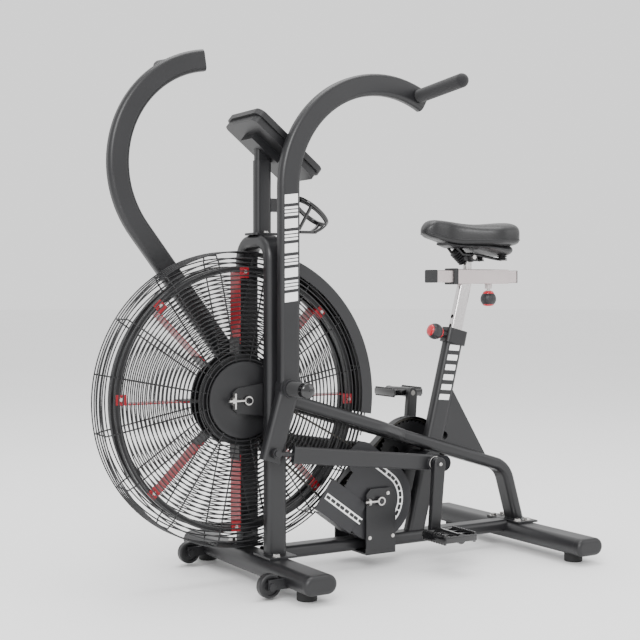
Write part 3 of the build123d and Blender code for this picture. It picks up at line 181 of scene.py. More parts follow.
def silver_lacquer():
    """Silver powder coat with metal flake: warm pale grey, satin, with a grain of bright flakes."""
    finish, tree, place = blank_finish("silver_lacquer")
    flake = add(tree, "TexVoronoi", {"Scale": 1 / (1.5 * MM)}, [(place, "Object", "Vector")])
    cloud = noise(tree, place, 80 * MM)
    colour = two_tones(tree, cloud, linear("#b3a9a9"), linear("#c6bdbc"))
    gloss = add(tree, "MapRange", {"To Min": 0.34, "To Max": 0.46}, [(flake, "Distance", "Value")])
    rounded = add(tree, "Bevel", {"Radius": 1.0 * MM}, samples=4)
    bump = add(tree, "Bump", {"Strength": 0.12, "Distance": 0.05 * MM},
               [(flake, "Distance", "Height"), (rounded, "Normal", "Normal")])
    coat = add(tree, "BsdfPrincipled", {"Metallic": 0.55},
               [(colour, "Color", "Base Color"), (gloss, "Result", "Roughness"),
                (bump, "Normal", "Normal")])
    return close_finish(finish, tree, coat)


def machined_steel(name, shade, roughness):
    """Cut and oiled steel: grey metal, brushed round its axis, a little stained."""
    finish, tree, place = blank_finish(name)
    brush = noise(tree, place, 1.5 * MM, 5.0)
    stain = noise(tree, place, 25 * MM, 3.0)
    colour = two_tones(tree, stain, tinted(shade, 0.6), linear(shade))
    gloss = add(tree, "MapRange", {"To Min": roughness - 0.06, "To Max": roughness + 0.1},
                [(stain, "Fac", "Value")])
    bump = add(tree, "Bump", {"Strength": 0.15, "Distance": 0.05 * MM}, [(brush, "Fac", "Height")])
    metal = add(tree, "BsdfPrincipled", {"Metallic": 1.0},
                [(colour, "Color", "Base Color"), (gloss, "Result", "Roughness"),
                 (bump, "Normal", "Normal")])
    return close_finish(finish, tree, metal)


def moulded_plastic(name, shade, roughness, grain_mm):
    """Injection-moulded ABS or nylon with a spark-eroded grain and soft highlights."""
    finish, tree, place = blank_finish(name)
    grain = noise(tree, place, grain_mm * MM, 3.0)
    flow = noise(tree, place, 70 * MM)
    colour = two_tones(tree, flow, tinted(shade, 0.85), tinted(shade, 1.15))
    rounded = add(tree, "Bevel", {"Radius": 0.8 * MM}, samples=4)
    bump = add(tree, "Bump", {"Strength": 0.3, "Distance": 0.12 * MM},
               [(grain, "Fac", "Height"), (rounded, "Normal", "Normal")])
    body = add(tree, "BsdfPrincipled", {"Roughness": roughness, "IOR": 1.49},
               [(colour, "Color", "Base Color"), (bump, "Normal", "Normal")])
    return close_finish(finish, tree, body)


def gloss_plastic(name, shade):
    """Polished-mould plastic: deep colour with sharp reflections and a slight ripple."""
    finish, tree, place = blank_finish(name)
    ripple = noise(tree, place, 12 * MM)
    colour = two_tones(tree, ripple, tinted(shade, 0.9), linear(shade))
    bump = add(tree, "Bump", {"Strength": 0.05, "Distance": 0.3 * MM}, [(ripple, "Fac", "Height")])
    body = add(tree, "BsdfPrincipled", {"Roughness": 0.16, "IOR": 1.5, "Coat Weight": 0.5},
               [(colour, "Color", "Base Color"), (bump, "Normal", "Normal")])
    return close_finish(finish, tree, body)


def foam_rubber():
    """Closed-cell nitrile foam: dead matte, with a skin of fine cells and a slight mottling."""
    finish, tree, place = blank_finish("foam_rubber")
    cells = add(tree, "TexVoronoi", {"Scale": 1 / (1.6 * MM)}, [(place, "Object", "Vector")])
    mottle = noise(tree, place, 15 * MM, 4.0)
    colour = two_tones(tree, mottle, linear("#0e0e10"), linear("#18181b"))
    bump = add(tree, "Bump", {"Strength": 0.5, "Distance": 0.3 * MM}, [(cells, "Distance", "Height")])
    body = add(tree, "BsdfPrincipled", {"Roughness": 0.78, "IOR": 1.45, "Sheen Weight": 0.15},
               [(colour, "Color", "Base Color"), (bump, "Normal", "Normal")])
    return close_finish(finish, tree, body)


def rubber():
    """Moulded rubber: matte black with a dusty bloom."""
    finish, tree, place = blank_finish("moulded_rubber")
    bloom = noise(tree, place, 10 * MM, 5.0)
    colour = two_tones(tree, bloom, linear("#0f0f10"), linear("#19191a"))
    bump = add(tree, "Bump", {"Strength": 0.2, "Distance": 0.2 * MM}, [(bloom, "Fac", "Height")])
    body = add(tree, "BsdfPrincipled", {"Roughness": 0.7, "IOR": 1.52},
               [(colour, "Color", "Base Color"), (bump, "Normal", "Normal")])
    return close_finish(finish, tree, body)


def saddle_vinyl():
    """PVC vinyl over foam: satin black, a pebble grain of about 1.8 mm and a soft sheen."""
    finish, tree, place = blank_finish("saddle_vinyl")
    pebble = add(tree, "TexVoronoi", {"Scale": 1 / (1.8 * MM)}, [(place, "Object", "Vector")],
                 feature="DISTANCE_TO_EDGE")
    crease = noise(tree, place, 7 * MM, 4.0)
    colour = two_tones(tree, crease, linear("#0b0b0d"), linear("#121214"))
    grain = add(tree, "MapRange", {"From Max": 0.25}, [(pebble, "Distance", "Value")])
    gloss = add(tree, "MapRange", {"To Min": 0.32, "To Max": 0.46}, [(crease, "Fac", "Value")])
    bump = add(tree, "Bump", {"Strength": 0.35, "Distance": 0.15 * MM}, [(grain, "Result", "Height")])
    skin = add(tree, "BsdfPrincipled", {"IOR": 1.5, "Sheen Weight": 0.1},
               [(colour, "Color", "Base Color"), (gloss, "Result", "Roughness"),
                (bump, "Normal", "Normal")])
    return close_finish(finish, tree, skin)


def printed_white():
    """Screen-printed ink on the coat: flat white, slightly uneven where the film is thin."""
    finish, tree, place = blank_finish("printed_white")
    film = noise(tree, place, 3 * MM, 3.0)
    colour = two_tones(tree, film, linear("#dedede"), linear("#f4f4f4"))
    ink = add(tree, "BsdfPrincipled", {"Roughness": 0.5, "IOR": 1.5}, [(colour, "Color", "Base Color")])
    return close_finish(finish, tree, ink)


def display_glass():
    """Tinted acrylic window over a grey liquid-crystal panel: dark, flat and glossy."""
    finish, tree, place = blank_finish("display_glass")
    tint = noise(tree, place, 40 * MM)
    colour = two_tones(tree, tint, linear("#2c332e"), linear("#39423b"))
    glass = add(tree, "BsdfPrincipled", {"Roughness": 0.08, "IOR": 1.49, "Coat Weight": 1.0},
                [(colour, "Color", "Base Color")])
    return close_finish(finish, tree, glass)


def pale_floor():
    """Painted studio floor: near white, matte, with very faint variation."""
    finish, tree, place = blank_finish("pale_floor")
    wash = noise(tree, place, 1.25)
    colour = two_tones(tree, wash, linear("#f6f6f6"), linear("#fafafa"))
    paint = add(tree, "BsdfPrincipled", {"Roughness": 0.6}, [(colour, "Color", "Base Color")])
    return close_finish(finish, tree, paint)


FRAME_COAT = powder_coat("charcoal_powder_coat", "#19191b", "#303034", 0.38)
DARK_COAT = powder_coat("black_powder_coat", "#121214", "#242426", 0.38)
WIRE = wire_enamel()
RED = red_paint("red_enamel", "#9c0018", 0.34)
ZINC = bright_zinc()
SILVER = silver_lacquer()
CHROME = satin_chrome()
STEEL = machined_steel("machined_steel", "#8d8b88", 0.34)
BLACKED_STEEL = machined_steel("blacked_steel", "#2a2a2c", 0.36)
CHAIN_STEEL = machined_steel("oiled_chain_steel", "#5a5753", 0.36)
PLASTIC = moulded_plastic("black_abs", "#161618", 0.42, 1.4)
COVER_PLASTIC = moulded_plastic("charcoal_abs", "#202023", 0.45, 1.2)
GLOSS_BLACK = gloss_plastic("gloss_black_nylon", "#0b0b0d")
GLOSS_RED = gloss_plastic("gloss_red_nylon", "#b80620")
FOAM = foam_rubber()
RUBBER = rubber()
VINYL = saddle_vinyl()
WHITE = printed_white()
GLASS = display_glass()
FLOOR = pale_floor()

NODE_FINISH = {
    "front_stabiliser": FRAME_COAT, "rear_stabiliser": FRAME_COAT, "base_rail": FRAME_COAT,
    "front_fork": FRAME_COAT, "upper_rails": FRAME_COAT, "rear_tube": FRAME_COAT,
    "seat_tube": FRAME_COAT, "lower_strut": FRAME_COAT, "seat_gusset": FRAME_COAT,
    "seat_collar": FRAME_COAT, "console_mast": FRAME_COAT, "axle_plates": DARK_COAT,
    "jackshaft_bracket": FRAME_COAT, "crank_chain_guard": DARK_COAT, "wheel_forks": FRAME_COAT,
    "left_arm": FRAME_COAT, "right_arm": FRAME_COAT, "left_push_rod": FRAME_COAT,
    "right_push_rod": FRAME_COAT, "fan_hub": DARK_COAT, "fan_hoops": DARK_COAT,
    "crank_arms": DARK_COAT, "wind_guard": FRAME_COAT, "left_fan_guard": WIRE,
    "right_fan_guard": WIRE, "fan_guard_rim": WIRE, "stabiliser_end_caps": PLASTIC,
    "console_back": PLASTIC, "console_face": PLASTIC, "upper_chain_cover": COVER_PLASTIC,
    "lower_chain_cover": COVER_PLASTIC, "left_transport_wheel": PLASTIC,
    "right_transport_wheel": PLASTIC, "left_pedal": PLASTIC, "right_pedal": PLASTIC,
    "rubber_feet": RUBBER, "left_button": RUBBER, "right_button": RUBBER, "foot_pegs": FOAM,
    "left_grip": FOAM, "right_grip": FOAM, "bottle_cage": GLOSS_BLACK, "height_knob": PLASTIC,
    "slider_knob": PLASTIC, "console_screen": GLASS, "fan_blades": RED, "frame_bolts": ZINC,
    "chain_tensioners": ZINC, "fan_axle": BLACKED_STEEL, "seat_post": CHROME, "slider_sleeve": SILVER,
    "slider_tube": SILVER, "pivot_shafts": STEEL, "jackshaft": STEEL, "crank_spindle": BLACKED_STEEL,
    "crank_sprocket": DARK_COAT, "crank_chain": CHAIN_STEEL, "fan_chain": CHAIN_STEEL,
    "saddle_cushion": VINYL, "saddle_clamp": PLASTIC,
}


TUBE_FRONT_PLUG = 14.2 * MM
TUBE_REAR_PLUG = 3 * MM
SLEEVE_FRONT_PLUG = 13.2 * MM


def paint_nodes():
    """Each carried-over node takes its own finish, and the slider's moulded ends take black plastic."""
    for name, node in NODES.items():
        node.data.materials.clear()
        node.data.materials.append(NODE_FINISH[name])
    paint_part("slider_tube", PLASTIC, lambda at, low, high:
               at.x < low.x + TUBE_FRONT_PLUG or at.x > high.x - TUBE_REAR_PLUG)
    paint_part("slider_sleeve", PLASTIC, lambda at, low, high: at.x < low.x + SLEEVE_FRONT_PLUG)


def paint_part(name, finish, chosen):
    """Gives the faces of one moulded end its own finish; chosen tells them by where they are."""
    node = NODES[name]
    low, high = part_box(name)
    node.data.materials.append(finish)
    for face in node.data.polygons:
        if chosen(node.matrix_world @ face.center, low, high):
            face.material_index = 1


# ---------------------------------------------------------------- mesh helpers
NEAR_AXIS = 0.001     # radius of the small flat in the middle of a turned end


def piece(name, mesh, body, finish, smooth_angle=35):
    """Object from a finished bmesh, riding on a body."""
    data = bpy.data.meshes.new(name)
    mesh.to_mesh(data)
    mesh.free()
    made = bpy.data.objects.new(name, data)
    bpy.context.scene.collection.objects.link(made)
    made.data.materials.append(finish)
    for face in data.polygons:
        face.use_smooth = True
    data.set_sharp_from_angle(angle=math.radians(smooth_angle))
    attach(made, body)
    return made


def bridge_rings(mesh, rings, closed=False):
    """Skins a list of vertex rings, and caps both ends unless the list is a loop."""
    count = len(rings[0])
    pairs = list(zip(rings, rings[1:])) + ([(rings[-1], rings[0])] if closed else [])
    for lower, upper in pairs:
        for i in range(count):
            j = (i + 1) % count
            mesh.faces.new((lower[i], lower[j], upper[j], upper[i]))
    if not closed:
        mesh.faces.new(list(reversed(rings[0])))
        mesh.faces.new(rings[-1])


def turned_mesh(mesh, origin, axis, profile, segments=40, flutes=0, flute_depth=0.0):
    """Solid of revolution: profile is (distance along the axis, radius), with optional flutes."""
    direction = Vector(axis).normalized()
    side = direction.orthogonal().normalized()
    other = direction.cross(side)
    rings = []
    for along, radius in profile:
        ring = []
        for i in range(segments):
            turn = 2 * math.pi * i / segments
            flute = 0.5 + 0.5 * math.cos(flutes * turn)
            r = radius - flute_depth * radius * flute if flutes else radius
            outward = side * math.cos(turn) + other * math.sin(turn)
            ring.append(mesh.verts.new(Vector(origin) + direction * along + outward * r))
        rings.append(ring)
    bridge_rings(mesh, rings)
    bmesh.ops.recalc_face_normals(mesh, faces=mesh.faces[:])


def bar_mesh(mesh, points, radius, segments=12, closed=False):
    """Round bar along a list of points."""
    count = len(points)
    rings = []
    normal = None
    for i, point in enumerate(points):
        before = points[(i - 1) % count] if closed or i > 0 else point
        after = points[(i + 1) % count] if closed or i < count - 1 else point
        tangent = (Vector(after) - Vector(before)).normalized()
        if normal is None:
            normal = tangent.orthogonal().normalized()
        normal = (normal - tangent * normal.dot(tangent)).normalized()
        other = tangent.cross(normal)
        ring = []
        for k in range(segments):
            turn = 2 * math.pi * k / segments
            outward = normal * math.cos(turn) + other * math.sin(turn)
            ring.append(mesh.verts.new(Vector(point) + outward * radius))
        rings.append(ring)
    bridge_rings(mesh, rings, closed)


def box_mesh(mesh, centre, size, bevel):
    """Block with softened edges."""
    made = bmesh.ops.create_cube(mesh, size=1.0)
    matrix = Matrix.Translation(Vector(centre)) @ Matrix.Diagonal((*size, 1.0))
    bmesh.ops.transform(mesh, matrix=matrix, verts=made["verts"])
    edges = list({edge for vert in made["verts"] for edge in vert.link_edges})
    bmesh.ops.bevel(mesh, geom=edges, offset=bevel, segments=3, profile=0.5, affect="EDGES")


def plug(radius, length):
    """Profile of a plain turned plug, for turned_mesh."""
    return [(0, NEAR_AXIS), (0, radius), (length, radius), (length, NEAR_AXIS)]


def smooth_step(value):
    t = min(max(value, 0.0), 1.0)
    return t * t * (3 - 2 * t)


# ---------------------------------------------------------------- saddle
SADDLE_NOSE_HALF = 27 * MM
SADDLE_DIP = 9 * MM
SADDLE_STATIONS = 44
SADDLE_AROUND = 48


def saddle_half_width(t, half):
    """Half width from the nose (0) to the tail (1): slim nose, waist, wide tail."""
    grow = smooth_step((t - 0.22) / 0.5)
    width = SADDLE_NOSE_HALF + (half - SADDLE_NOSE_HALF) * grow
    if t < 0.14:
        width *= math.sqrt(max(1 - (1 - t / 0.14) ** 2, 0.0)) * 0.985 + 0.015
    if t > 0.8:
        width *= max(1 - ((t - 0.8) / 0.2) ** 3.2 * 0.72, 0.0)
    return width


def saddle_piece():
    """Padded saddle: a closed crowned form with a rolled nose, a waist and two seat lobes."""
    low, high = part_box("saddle_cushion")
    length = high.x - low.x
    half = (high.y - low.y) / 2
    mid_y = (high.y + low.y) / 2
    mesh = bmesh.new()
    rings = []
    for i in range(SADDLE_STATIONS + 1):
        t = 0.5 - 0.5 * math.cos(math.pi * i / SADDLE_STATIONS)
        width = saddle_half_width(t, half)
        dip = SADDLE_DIP * math.exp(-((t - 0.5) / 0.2) ** 2)
        top = high.z - dip - 3 * MM * smooth_step((t - 0.45) / 0.3)
        top -= (high.z - low.z) * 0.42 * max((t - 0.86) / 0.14, 0.0) ** 2.4
        top -= (high.z - low.z) * 0.40 * max((0.13 - t) / 0.13, 0.0) ** 2.2
        bottom = low.z + 22 * MM * (1 - smooth_step(t / 0.42)) + 4 * MM * smooth_step((t - 0.8) / 0.2)
        bottom += 10 * MM * max((0.1 - t) / 0.1, 0.0) ** 2
        ring = []
        for k in range(SADDLE_AROUND):
            turn = 2 * math.pi * k / SADDLE_AROUND
            c = math.cos(turn)
            s = math.sin(turn)
            y = width * math.copysign(abs(c) ** 0.62, c)
            height = (top - bottom) / 2
            swell = 0.72 if s > 0 else 0.35
            z = (top + bottom) / 2 + height * math.copysign(abs(s) ** swell, s)
            if s > 0:
                channel = math.exp(-(y / (0.2 * half)) ** 2) * smooth_step((t - 0.5) / 0.3)
                z -= 5 * MM * channel
            ring.append(mesh.verts.new((low.x + t * length, mid_y + y, z)))
        rings.append(ring)
    bridge_rings(mesh, rings)
    bmesh.ops.recalc_face_normals(mesh, faces=mesh.faces[:])
    saddle = piece("saddle_cover", mesh, "saddle_carriage", VINYL, 80)
    smooth = saddle.modifiers.new("smooth", "SUBSURF")
    smooth.levels = 1
    smooth.render_levels = 1
    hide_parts("saddle_cushion")


def saddle_seams():
    """Piping along the line where the top panel meets the side."""
    low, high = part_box("saddle_cushion")
    length = high.x - low.x
    half = (high.y - low.y) / 2
    mid_y = (high.y + low.y) / 2
    points = []
    steps = 90
    for side in (1, -1):
        for i in range(steps):
            share = i / steps if side > 0 else 1 - i / steps
            t = 0.03 + 0.94 * share
            width = saddle_half_width(t, half)
            z = low.z + 17 * MM + 14 * MM * (1 - smooth_step(t / 0.4))
            points.append((low.x + t * length, mid_y + side * (width * 0.995 + 0.2 * MM), z))
    mesh = bmesh.new()
    bar_mesh(mesh, points, 1.3 * MM, 8, closed=True)
    piece("saddle_piping", mesh, "saddle_carriage", PLASTIC, 60)


CLAMP_BOLT_UP = 33 * MM
SPRING_BACK = 74 * MM
SPRING_OUT = 46 * MM
FOLD_ROOT = 0.006


def saddle_underside():
    """Moulded pan, clamp block, seat rails, two ribbed rear springs and a ribbed front boot."""
    low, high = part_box("saddle_clamp")
    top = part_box("saddle_cushion")[0].z
    mesh = bmesh.new()
    rings = []
    cushion_low, cushion_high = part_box("saddle_cushion")
    length = cushion_high.x - cushion_low.x
    half = (cushion_high.y - cushion_low.y) / 2
    for i in range(25):
        t = 0.26 + 0.71 * i / 24
        width = saddle_half_width(min(t + 0.02, 0.99), half) * 0.84
        lift = 20 * MM * (1 - smooth_step(t / 0.42))
        depth = 6 * MM + 16 * MM * smooth_step((t - 0.5) / 0.4)
        ring = []
        for k in range(24):
            turn = 2 * math.pi * k / 24
            y = width * math.copysign(abs(math.cos(turn)) ** 0.6, math.cos(turn))
            z = top + lift + 4 * MM - depth / 2 + depth * 0.7 * math.sin(turn)
            ring.append(mesh.verts.new((cushion_low.x + t * length - 5 * MM, y, z)))
        rings.append(ring)
    bridge_rings(mesh, rings)
    stub_x = low.x + (high.x - low.x) * 0.40
    bolt_z = low.z + CLAMP_BOLT_UP
    box_mesh(mesh, (stub_x, 0, bolt_z), (44 * MM, 34 * MM, 18 * MM), bevel=4 * MM)
    turned_mesh(mesh, (stub_x, -25 * MM, bolt_z), (0, 1, 0),
                [(0, NEAR_AXIS), (0, 9 * MM), (6 * MM, 12 * MM), (44 * MM, 12 * MM),
                 (50 * MM, 9 * MM), (50 * MM, NEAR_AXIS)])
    spring_x = stub_x + SPRING_BACK
    for side in (-1, 1):
        rail = [(stub_x - 46 * MM, side * 18 * MM, top - 2 * MM),
                (stub_x - 30 * MM, side * 20 * MM, low.z + 40 * MM),
                (stub_x + 20 * MM, side * 22 * MM, low.z + 38 * MM),
                (stub_x + 56 * MM, side * 36 * MM, low.z + 30 * MM),
                (spring_x, side * 44 * MM, low.z + 27 * MM)]
        bar_mesh(mesh, rail, 3.6 * MM, 10)
        turned_mesh(mesh, (spring_x, side * SPRING_OUT, low.z + 25 * MM), (0, 0, 1),
                    [(0, NEAR_AXIS), (0, 13 * MM), (3 * MM, 13 * MM), (3 * MM, 9 * MM),
                     (30 * MM, 9 * MM), (30 * MM, NEAR_AXIS)])
        for fold in range(5):
            fold_z = low.z + (29 + 4.4 * fold) * MM
            turned_mesh(mesh, (spring_x, side * SPRING_OUT, fold_z), (0, 0, 1),
                        [(0, FOLD_ROOT), (0.6 * MM, 12 * MM), (1.7 * MM, 13.5 * MM),
                         (2.8 * MM, 12 * MM), (3.4 * MM, FOLD_ROOT)], 28)
    for fold in range(6):
        place = (stub_x - (38 - 5 * fold) * MM, 0, low.z + (49 - 4.2 * fold) * MM)
        turned_mesh(mesh, place, (1, 0, -0.8),
                    [(0, FOLD_ROOT), (1 * MM, 15 * MM), (2.4 * MM, 17 * MM),
                     (3.8 * MM, 15 * MM), (4.6 * MM, FOLD_ROOT)], 28)
    under = piece("saddle_underside", mesh, "saddle_carriage", PLASTIC)
    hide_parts("saddle_clamp")
    mesh = bmesh.new()
    turned_mesh(mesh, (stub_x, 0, low.z), (0, 0, 1),
                [(0, NEAR_AXIS), (0, 10.8 * MM), (23 * MM, 10.8 * MM), (24 * MM, 10 * MM),
                 (24 * MM, NEAR_AXIS)])
    piece("saddle_stub", mesh, "saddle_carriage", ZINC)
    mesh = bmesh.new()
    for side in (-1, 1):
        turned_mesh(mesh, (stub_x, side * 25 * MM, bolt_z), (0, side, 0), plug(6 * MM, 5 * MM), 6)
    piece("saddle_clamp_nuts", mesh, "saddle_carriage", ZINC)


# ---------------------------------------------------------------- knobs
KNOB_BALL = 20 * MM


def knob(name, node, body, root, out):
    """Fluted ball knob with a red collar, red cap and plated neck; root is its mounting face."""
    direction = Vector(out).normalized()
    ball = KNOB_BALL
    base = -ball * math.sin(math.radians(60))
    centre = Vector(root) + direction * (8 * MM - base)
    profile = []
    for i in range(21):
        angle = math.radians(-60 + 104 * i / 20)
        profile.append((ball * math.sin(angle), ball * math.cos(angle)))
    profile = [(profile[0][0], NEAR_AXIS)] + profile + [(profile[-1][0], NEAR_AXIS)]
    mesh = bmesh.new()
    turned_mesh(mesh, centre, direction, profile, 120, 20, 0.02)
    grip = piece(name, mesh, body, COVER_PLASTIC, 60)
    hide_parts(node)
    mesh = bmesh.new()
    turned_mesh(mesh, centre, direction,
                [(base - 3 * MM, NEAR_AXIS), (base - 3 * MM, 9.5 * MM),
                 (base - 1 * MM, 12.6 * MM), (base + 2.4 * MM, 14.6 * MM),
                 (base + 4.2 * MM, 14.4 * MM), (base + 4.2 * MM, NEAR_AXIS)], 48)
    cap = ball * math.sin(math.radians(44))
    turned_mesh(mesh, centre, direction,
                [(cap - 1 * MM, NEAR_AXIS), (cap - 1 * MM, 14.8 * MM),
                 (cap + 1.5 * MM, 14.4 * MM), (cap + 3.6 * MM, 11.4 * MM),
                 (cap + 4.8 * MM, 7 * MM), (cap + 5.3 * MM, NEAR_AXIS)], 48)
    piece(name + "_red", mesh, body, GLOSS_RED, 50)
    mesh = bmesh.new()
    turned_mesh(mesh, centre, direction,
                [(base - 14 * MM, NEAR_AXIS), (base - 14 * MM, 4.4 * MM),
                 (base - 6 * MM, 4.4 * MM), (base - 5 * MM, 7.5 * MM),
                 (base - 2.6 * MM, 7.5 * MM), (base - 2.6 * MM, NEAR_AXIS)], 32)
    piece(name + "_plunger", mesh, body, ZINC)


def knobs():
    """Height knob on the collar, slider knob under the sleeve, and the nut of its bush."""
    collar_low, collar_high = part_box("seat_collar")
    out = JOINTS["height_knob_pull"]["axis"]
    middle = (collar_low + collar_high) / 2
    root = Vector((middle.x, 0, middle.z)) + Vector(out).normalized() * 31 * MM
    knob("height_knob_ball", "height_knob", "height_pull", root, out)
    low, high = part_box("slider_knob")
    middle = (low + high) / 2
    root = (middle.x, middle.y, low.z + 40 * MM)
    knob("slider_knob_ball", "slider_knob", "slider_pull", root, (0, 0, -1))
    sleeve_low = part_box("slider_sleeve")[0]
    mesh = bmesh.new()
    turned_mesh(mesh, (middle.x, 0, sleeve_low.z - 0.2 * MM), (0, 0, 1),
                [(0, 0.004), (0, 9.4 * MM), (11 * MM, 9.4 * MM), (11 * MM, 0.004)], 6)
    piece("slider_bush_nut", mesh, "post", ZINC)


# ---------------------------------------------------------------- chains
CHAIN_PITCH = 12.7 * MM
PIN = 1.2 * MM
ROLLER = 2.1 * MM
LINK_END = 2.5 * MM
CRANK_TEETH = 44
JACK_SMALL_TEETH = 16
JACK_BIG_TEETH = 40
FAN_TEETH = 14


def pitch_radius(teeth):
    return CHAIN_PITCH / (2 * math.sin(math.pi / teeth))


def belt_points(centre_a, radius_a, centre_b, radius_b, step):
    """Evenly spaced points and directions round two wheels, in the X and Z plane."""
    ax, az = centre_a
    bx, bz = centre_b
    span = math.hypot(bx - ax, bz - az)
    line = math.atan2(bz - az, bx - ax)
    lean = math.acos((radius_a - radius_b) / span)
    pieces = []
    straight = math.sqrt(span ** 2 - (radius_a - radius_b) ** 2)
    wrap_a = 2 * (math.pi - lean)
    wrap_b = 2 * lean
    total = wrap_a * radius_a + wrap_b * radius_b + 2 * straight
    count = round(total / step)
    for i in range(count):
        s = total * i / count
        if s < wrap_a * radius_a:
            angle = line + lean + s / radius_a
            point = (ax + radius_a * math.cos(angle), az + radius_a * math.sin(angle))
            heading = angle + math.pi / 2
        elif s < wrap_a * radius_a + straight:
            s -= wrap_a * radius_a
            angle = line - lean
            heading = angle + math.pi / 2
            point = (ax + radius_a * math.cos(angle) + s * math.cos(heading),
                     az + radius_a * math.sin(angle) + s * math.sin(heading))
        elif s < wrap_a * radius_a + straight + wrap_b * radius_b:
            s -= wrap_a * radius_a + straight
            angle = line - lean + s / radius_b
            point = (bx + radius_b * math.cos(angle), bz + radius_b * math.sin(angle))
            heading = angle + math.pi / 2
        else:
            s -= wrap_a * radius_a + straight + wrap_b * radius_b
            angle = line + lean
            heading = angle + math.pi / 2
            point = (bx + radius_b * math.cos(angle) + s * math.cos(heading),
                     bz + radius_b * math.sin(angle) + s * math.sin(heading))
        pieces.append((point, heading))
    return pieces


def chain(name, node, joint_a, radius_a, joint_b, radius_b):
    """Roller chain: outer and inner link plates in turn, with a roller and a pin at each joint."""
    low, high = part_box(node)
    y = (low.y + high.y) / 2
    a = JOINTS[joint_a]["pos_m"]
    b = JOINTS[joint_b]["pos_m"]
    lift = 5.5 * MM
    points = belt_points((a[0], a[2]), radius_a + lift, (b[0], b[2]), radius_b + lift, CHAIN_PITCH)
    mesh = bmesh.new()
    count = len(points)
    for i in range(count):
        (x1, z1), _ = points[i]
        (x2, z2), _ = points[(i + 1) % count]
        run = Vector((x2 - x1, 0, z2 - z1))
        angle = math.atan2(run.z, run.x)
        offset = 2.2 * MM if i % 2 else 1.5 * MM
        for side in (-1, 1):
            rings = []
            for depth in (-0.35 * MM, 0.35 * MM):
                ring = []
                for k in range(20):
                    turn = 2 * math.pi * k / 20
                    end = CHAIN_PITCH / 2 if math.cos(turn) > 0 else -CHAIN_PITCH / 2
                    waist = 0.82 + 0.18 * abs(math.cos(turn))
                    px = end + LINK_END * math.cos(turn)
                    pz = LINK_END * math.sin(turn) * waist
                    x = (x1 + x2) / 2 + px * math.cos(angle) - pz * math.sin(angle)
                    z = (z1 + z2) / 2 + px * math.sin(angle) + pz * math.cos(angle)
                    ring.append(mesh.verts.new((x, y + side * offset + depth, z)))
                rings.append(ring)
            bridge_rings(mesh, rings)
        turned_mesh(mesh, (x1, y - 2.9 * MM, z1), (0, 1, 0),
                    [(0, 0.5 * MM), (0, PIN), (1.5 * MM, PIN), (1.6 * MM, ROLLER),
                     (4.2 * MM, ROLLER), (4.3 * MM, PIN), (5.8 * MM, PIN), (5.8 * MM, 0.5 * MM)], 10)
    links = piece(name, mesh, "root", CHAIN_STEEL)
    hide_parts(node)


# ---------------------------------------------------------------- printed bars and cover stripes
PRINT_THICK = 0.2 * MM


def flat_patch(mesh, corners, y):
    verts = [mesh.verts.new((x, y, z)) for x, z in corners]
    mesh.faces.new(verts)


def arm_bars():
    """Generic slanted bars printed on the left arm's upright, in place of its lettering."""
    x, y, z = JOINTS["left_arm_swing"]["pos_m"]
    face = y - 14.25 * MM
    mesh = bmesh.new()
    start = z + 190 * MM
    half = 16.5 * MM
    for i in range(9):
        low = start + i * 27 * MM
        strokes = ((0, 20),) if i % 2 == 0 else ((0, 5), (7.5, 5), (15, 5))
        for foot, tall in strokes:
            z0 = low + foot * MM
            flat_patch(mesh, [(x - half, z0), (x + half, z0 + 4 * MM),
                              (x + half, z0 + (4 + tall) * MM), (x - half, z0 + tall * MM)], face)
    give_thickness(mesh, PRINT_THICK)
    piece("arm_printed_bars", mesh, "left_swing_arm", WHITE)


def give_thickness(mesh, depth):
    """Turns flat patches facing -Y into thin closed plates."""
    result = bmesh.ops.extrude_face_region(mesh, geom=mesh.faces[:])
    moved = [item for item in result["geom"] if isinstance(item, bmesh.types.BMVert)]
    bmesh.ops.translate(mesh, vec=(0, depth, 0), verts=moved)
    bmesh.ops.recalc_face_normals(mesh, faces=mesh.faces[:])


def seat_tube_bars():
    """The same kind of bars on the left face of the seat tube."""
    low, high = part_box("seat_tube")
    lean = math.atan2(JOINTS["seat_height_slide"]["axis"][0], JOINTS["seat_height_slide"]["axis"][2])
    up = Vector((math.sin(lean), 0, math.cos(lean)))
    across = Vector((math.cos(lean), 0, -math.sin(lean)))
    top = Vector((high.x - 25 * MM * math.cos(lean), 0, high.z))
    mesh = bmesh.new()
    for i in range(6):
        base = top - up * (62 + 25 * i) * MM
        half = 15 * MM
        corners = []
        for a, b in ((-half, 0), (half, 5 * MM), (half, 19 * MM), (-half, 14 * MM)):
            point = base + across * a + up * b
            corners.append((point.x, point.z))
        flat_patch(mesh, corners, low.y - 0.25 * MM)
    give_thickness(mesh, PRINT_THICK)
    piece("seat_tube_printed_bars", mesh, "root", WHITE)


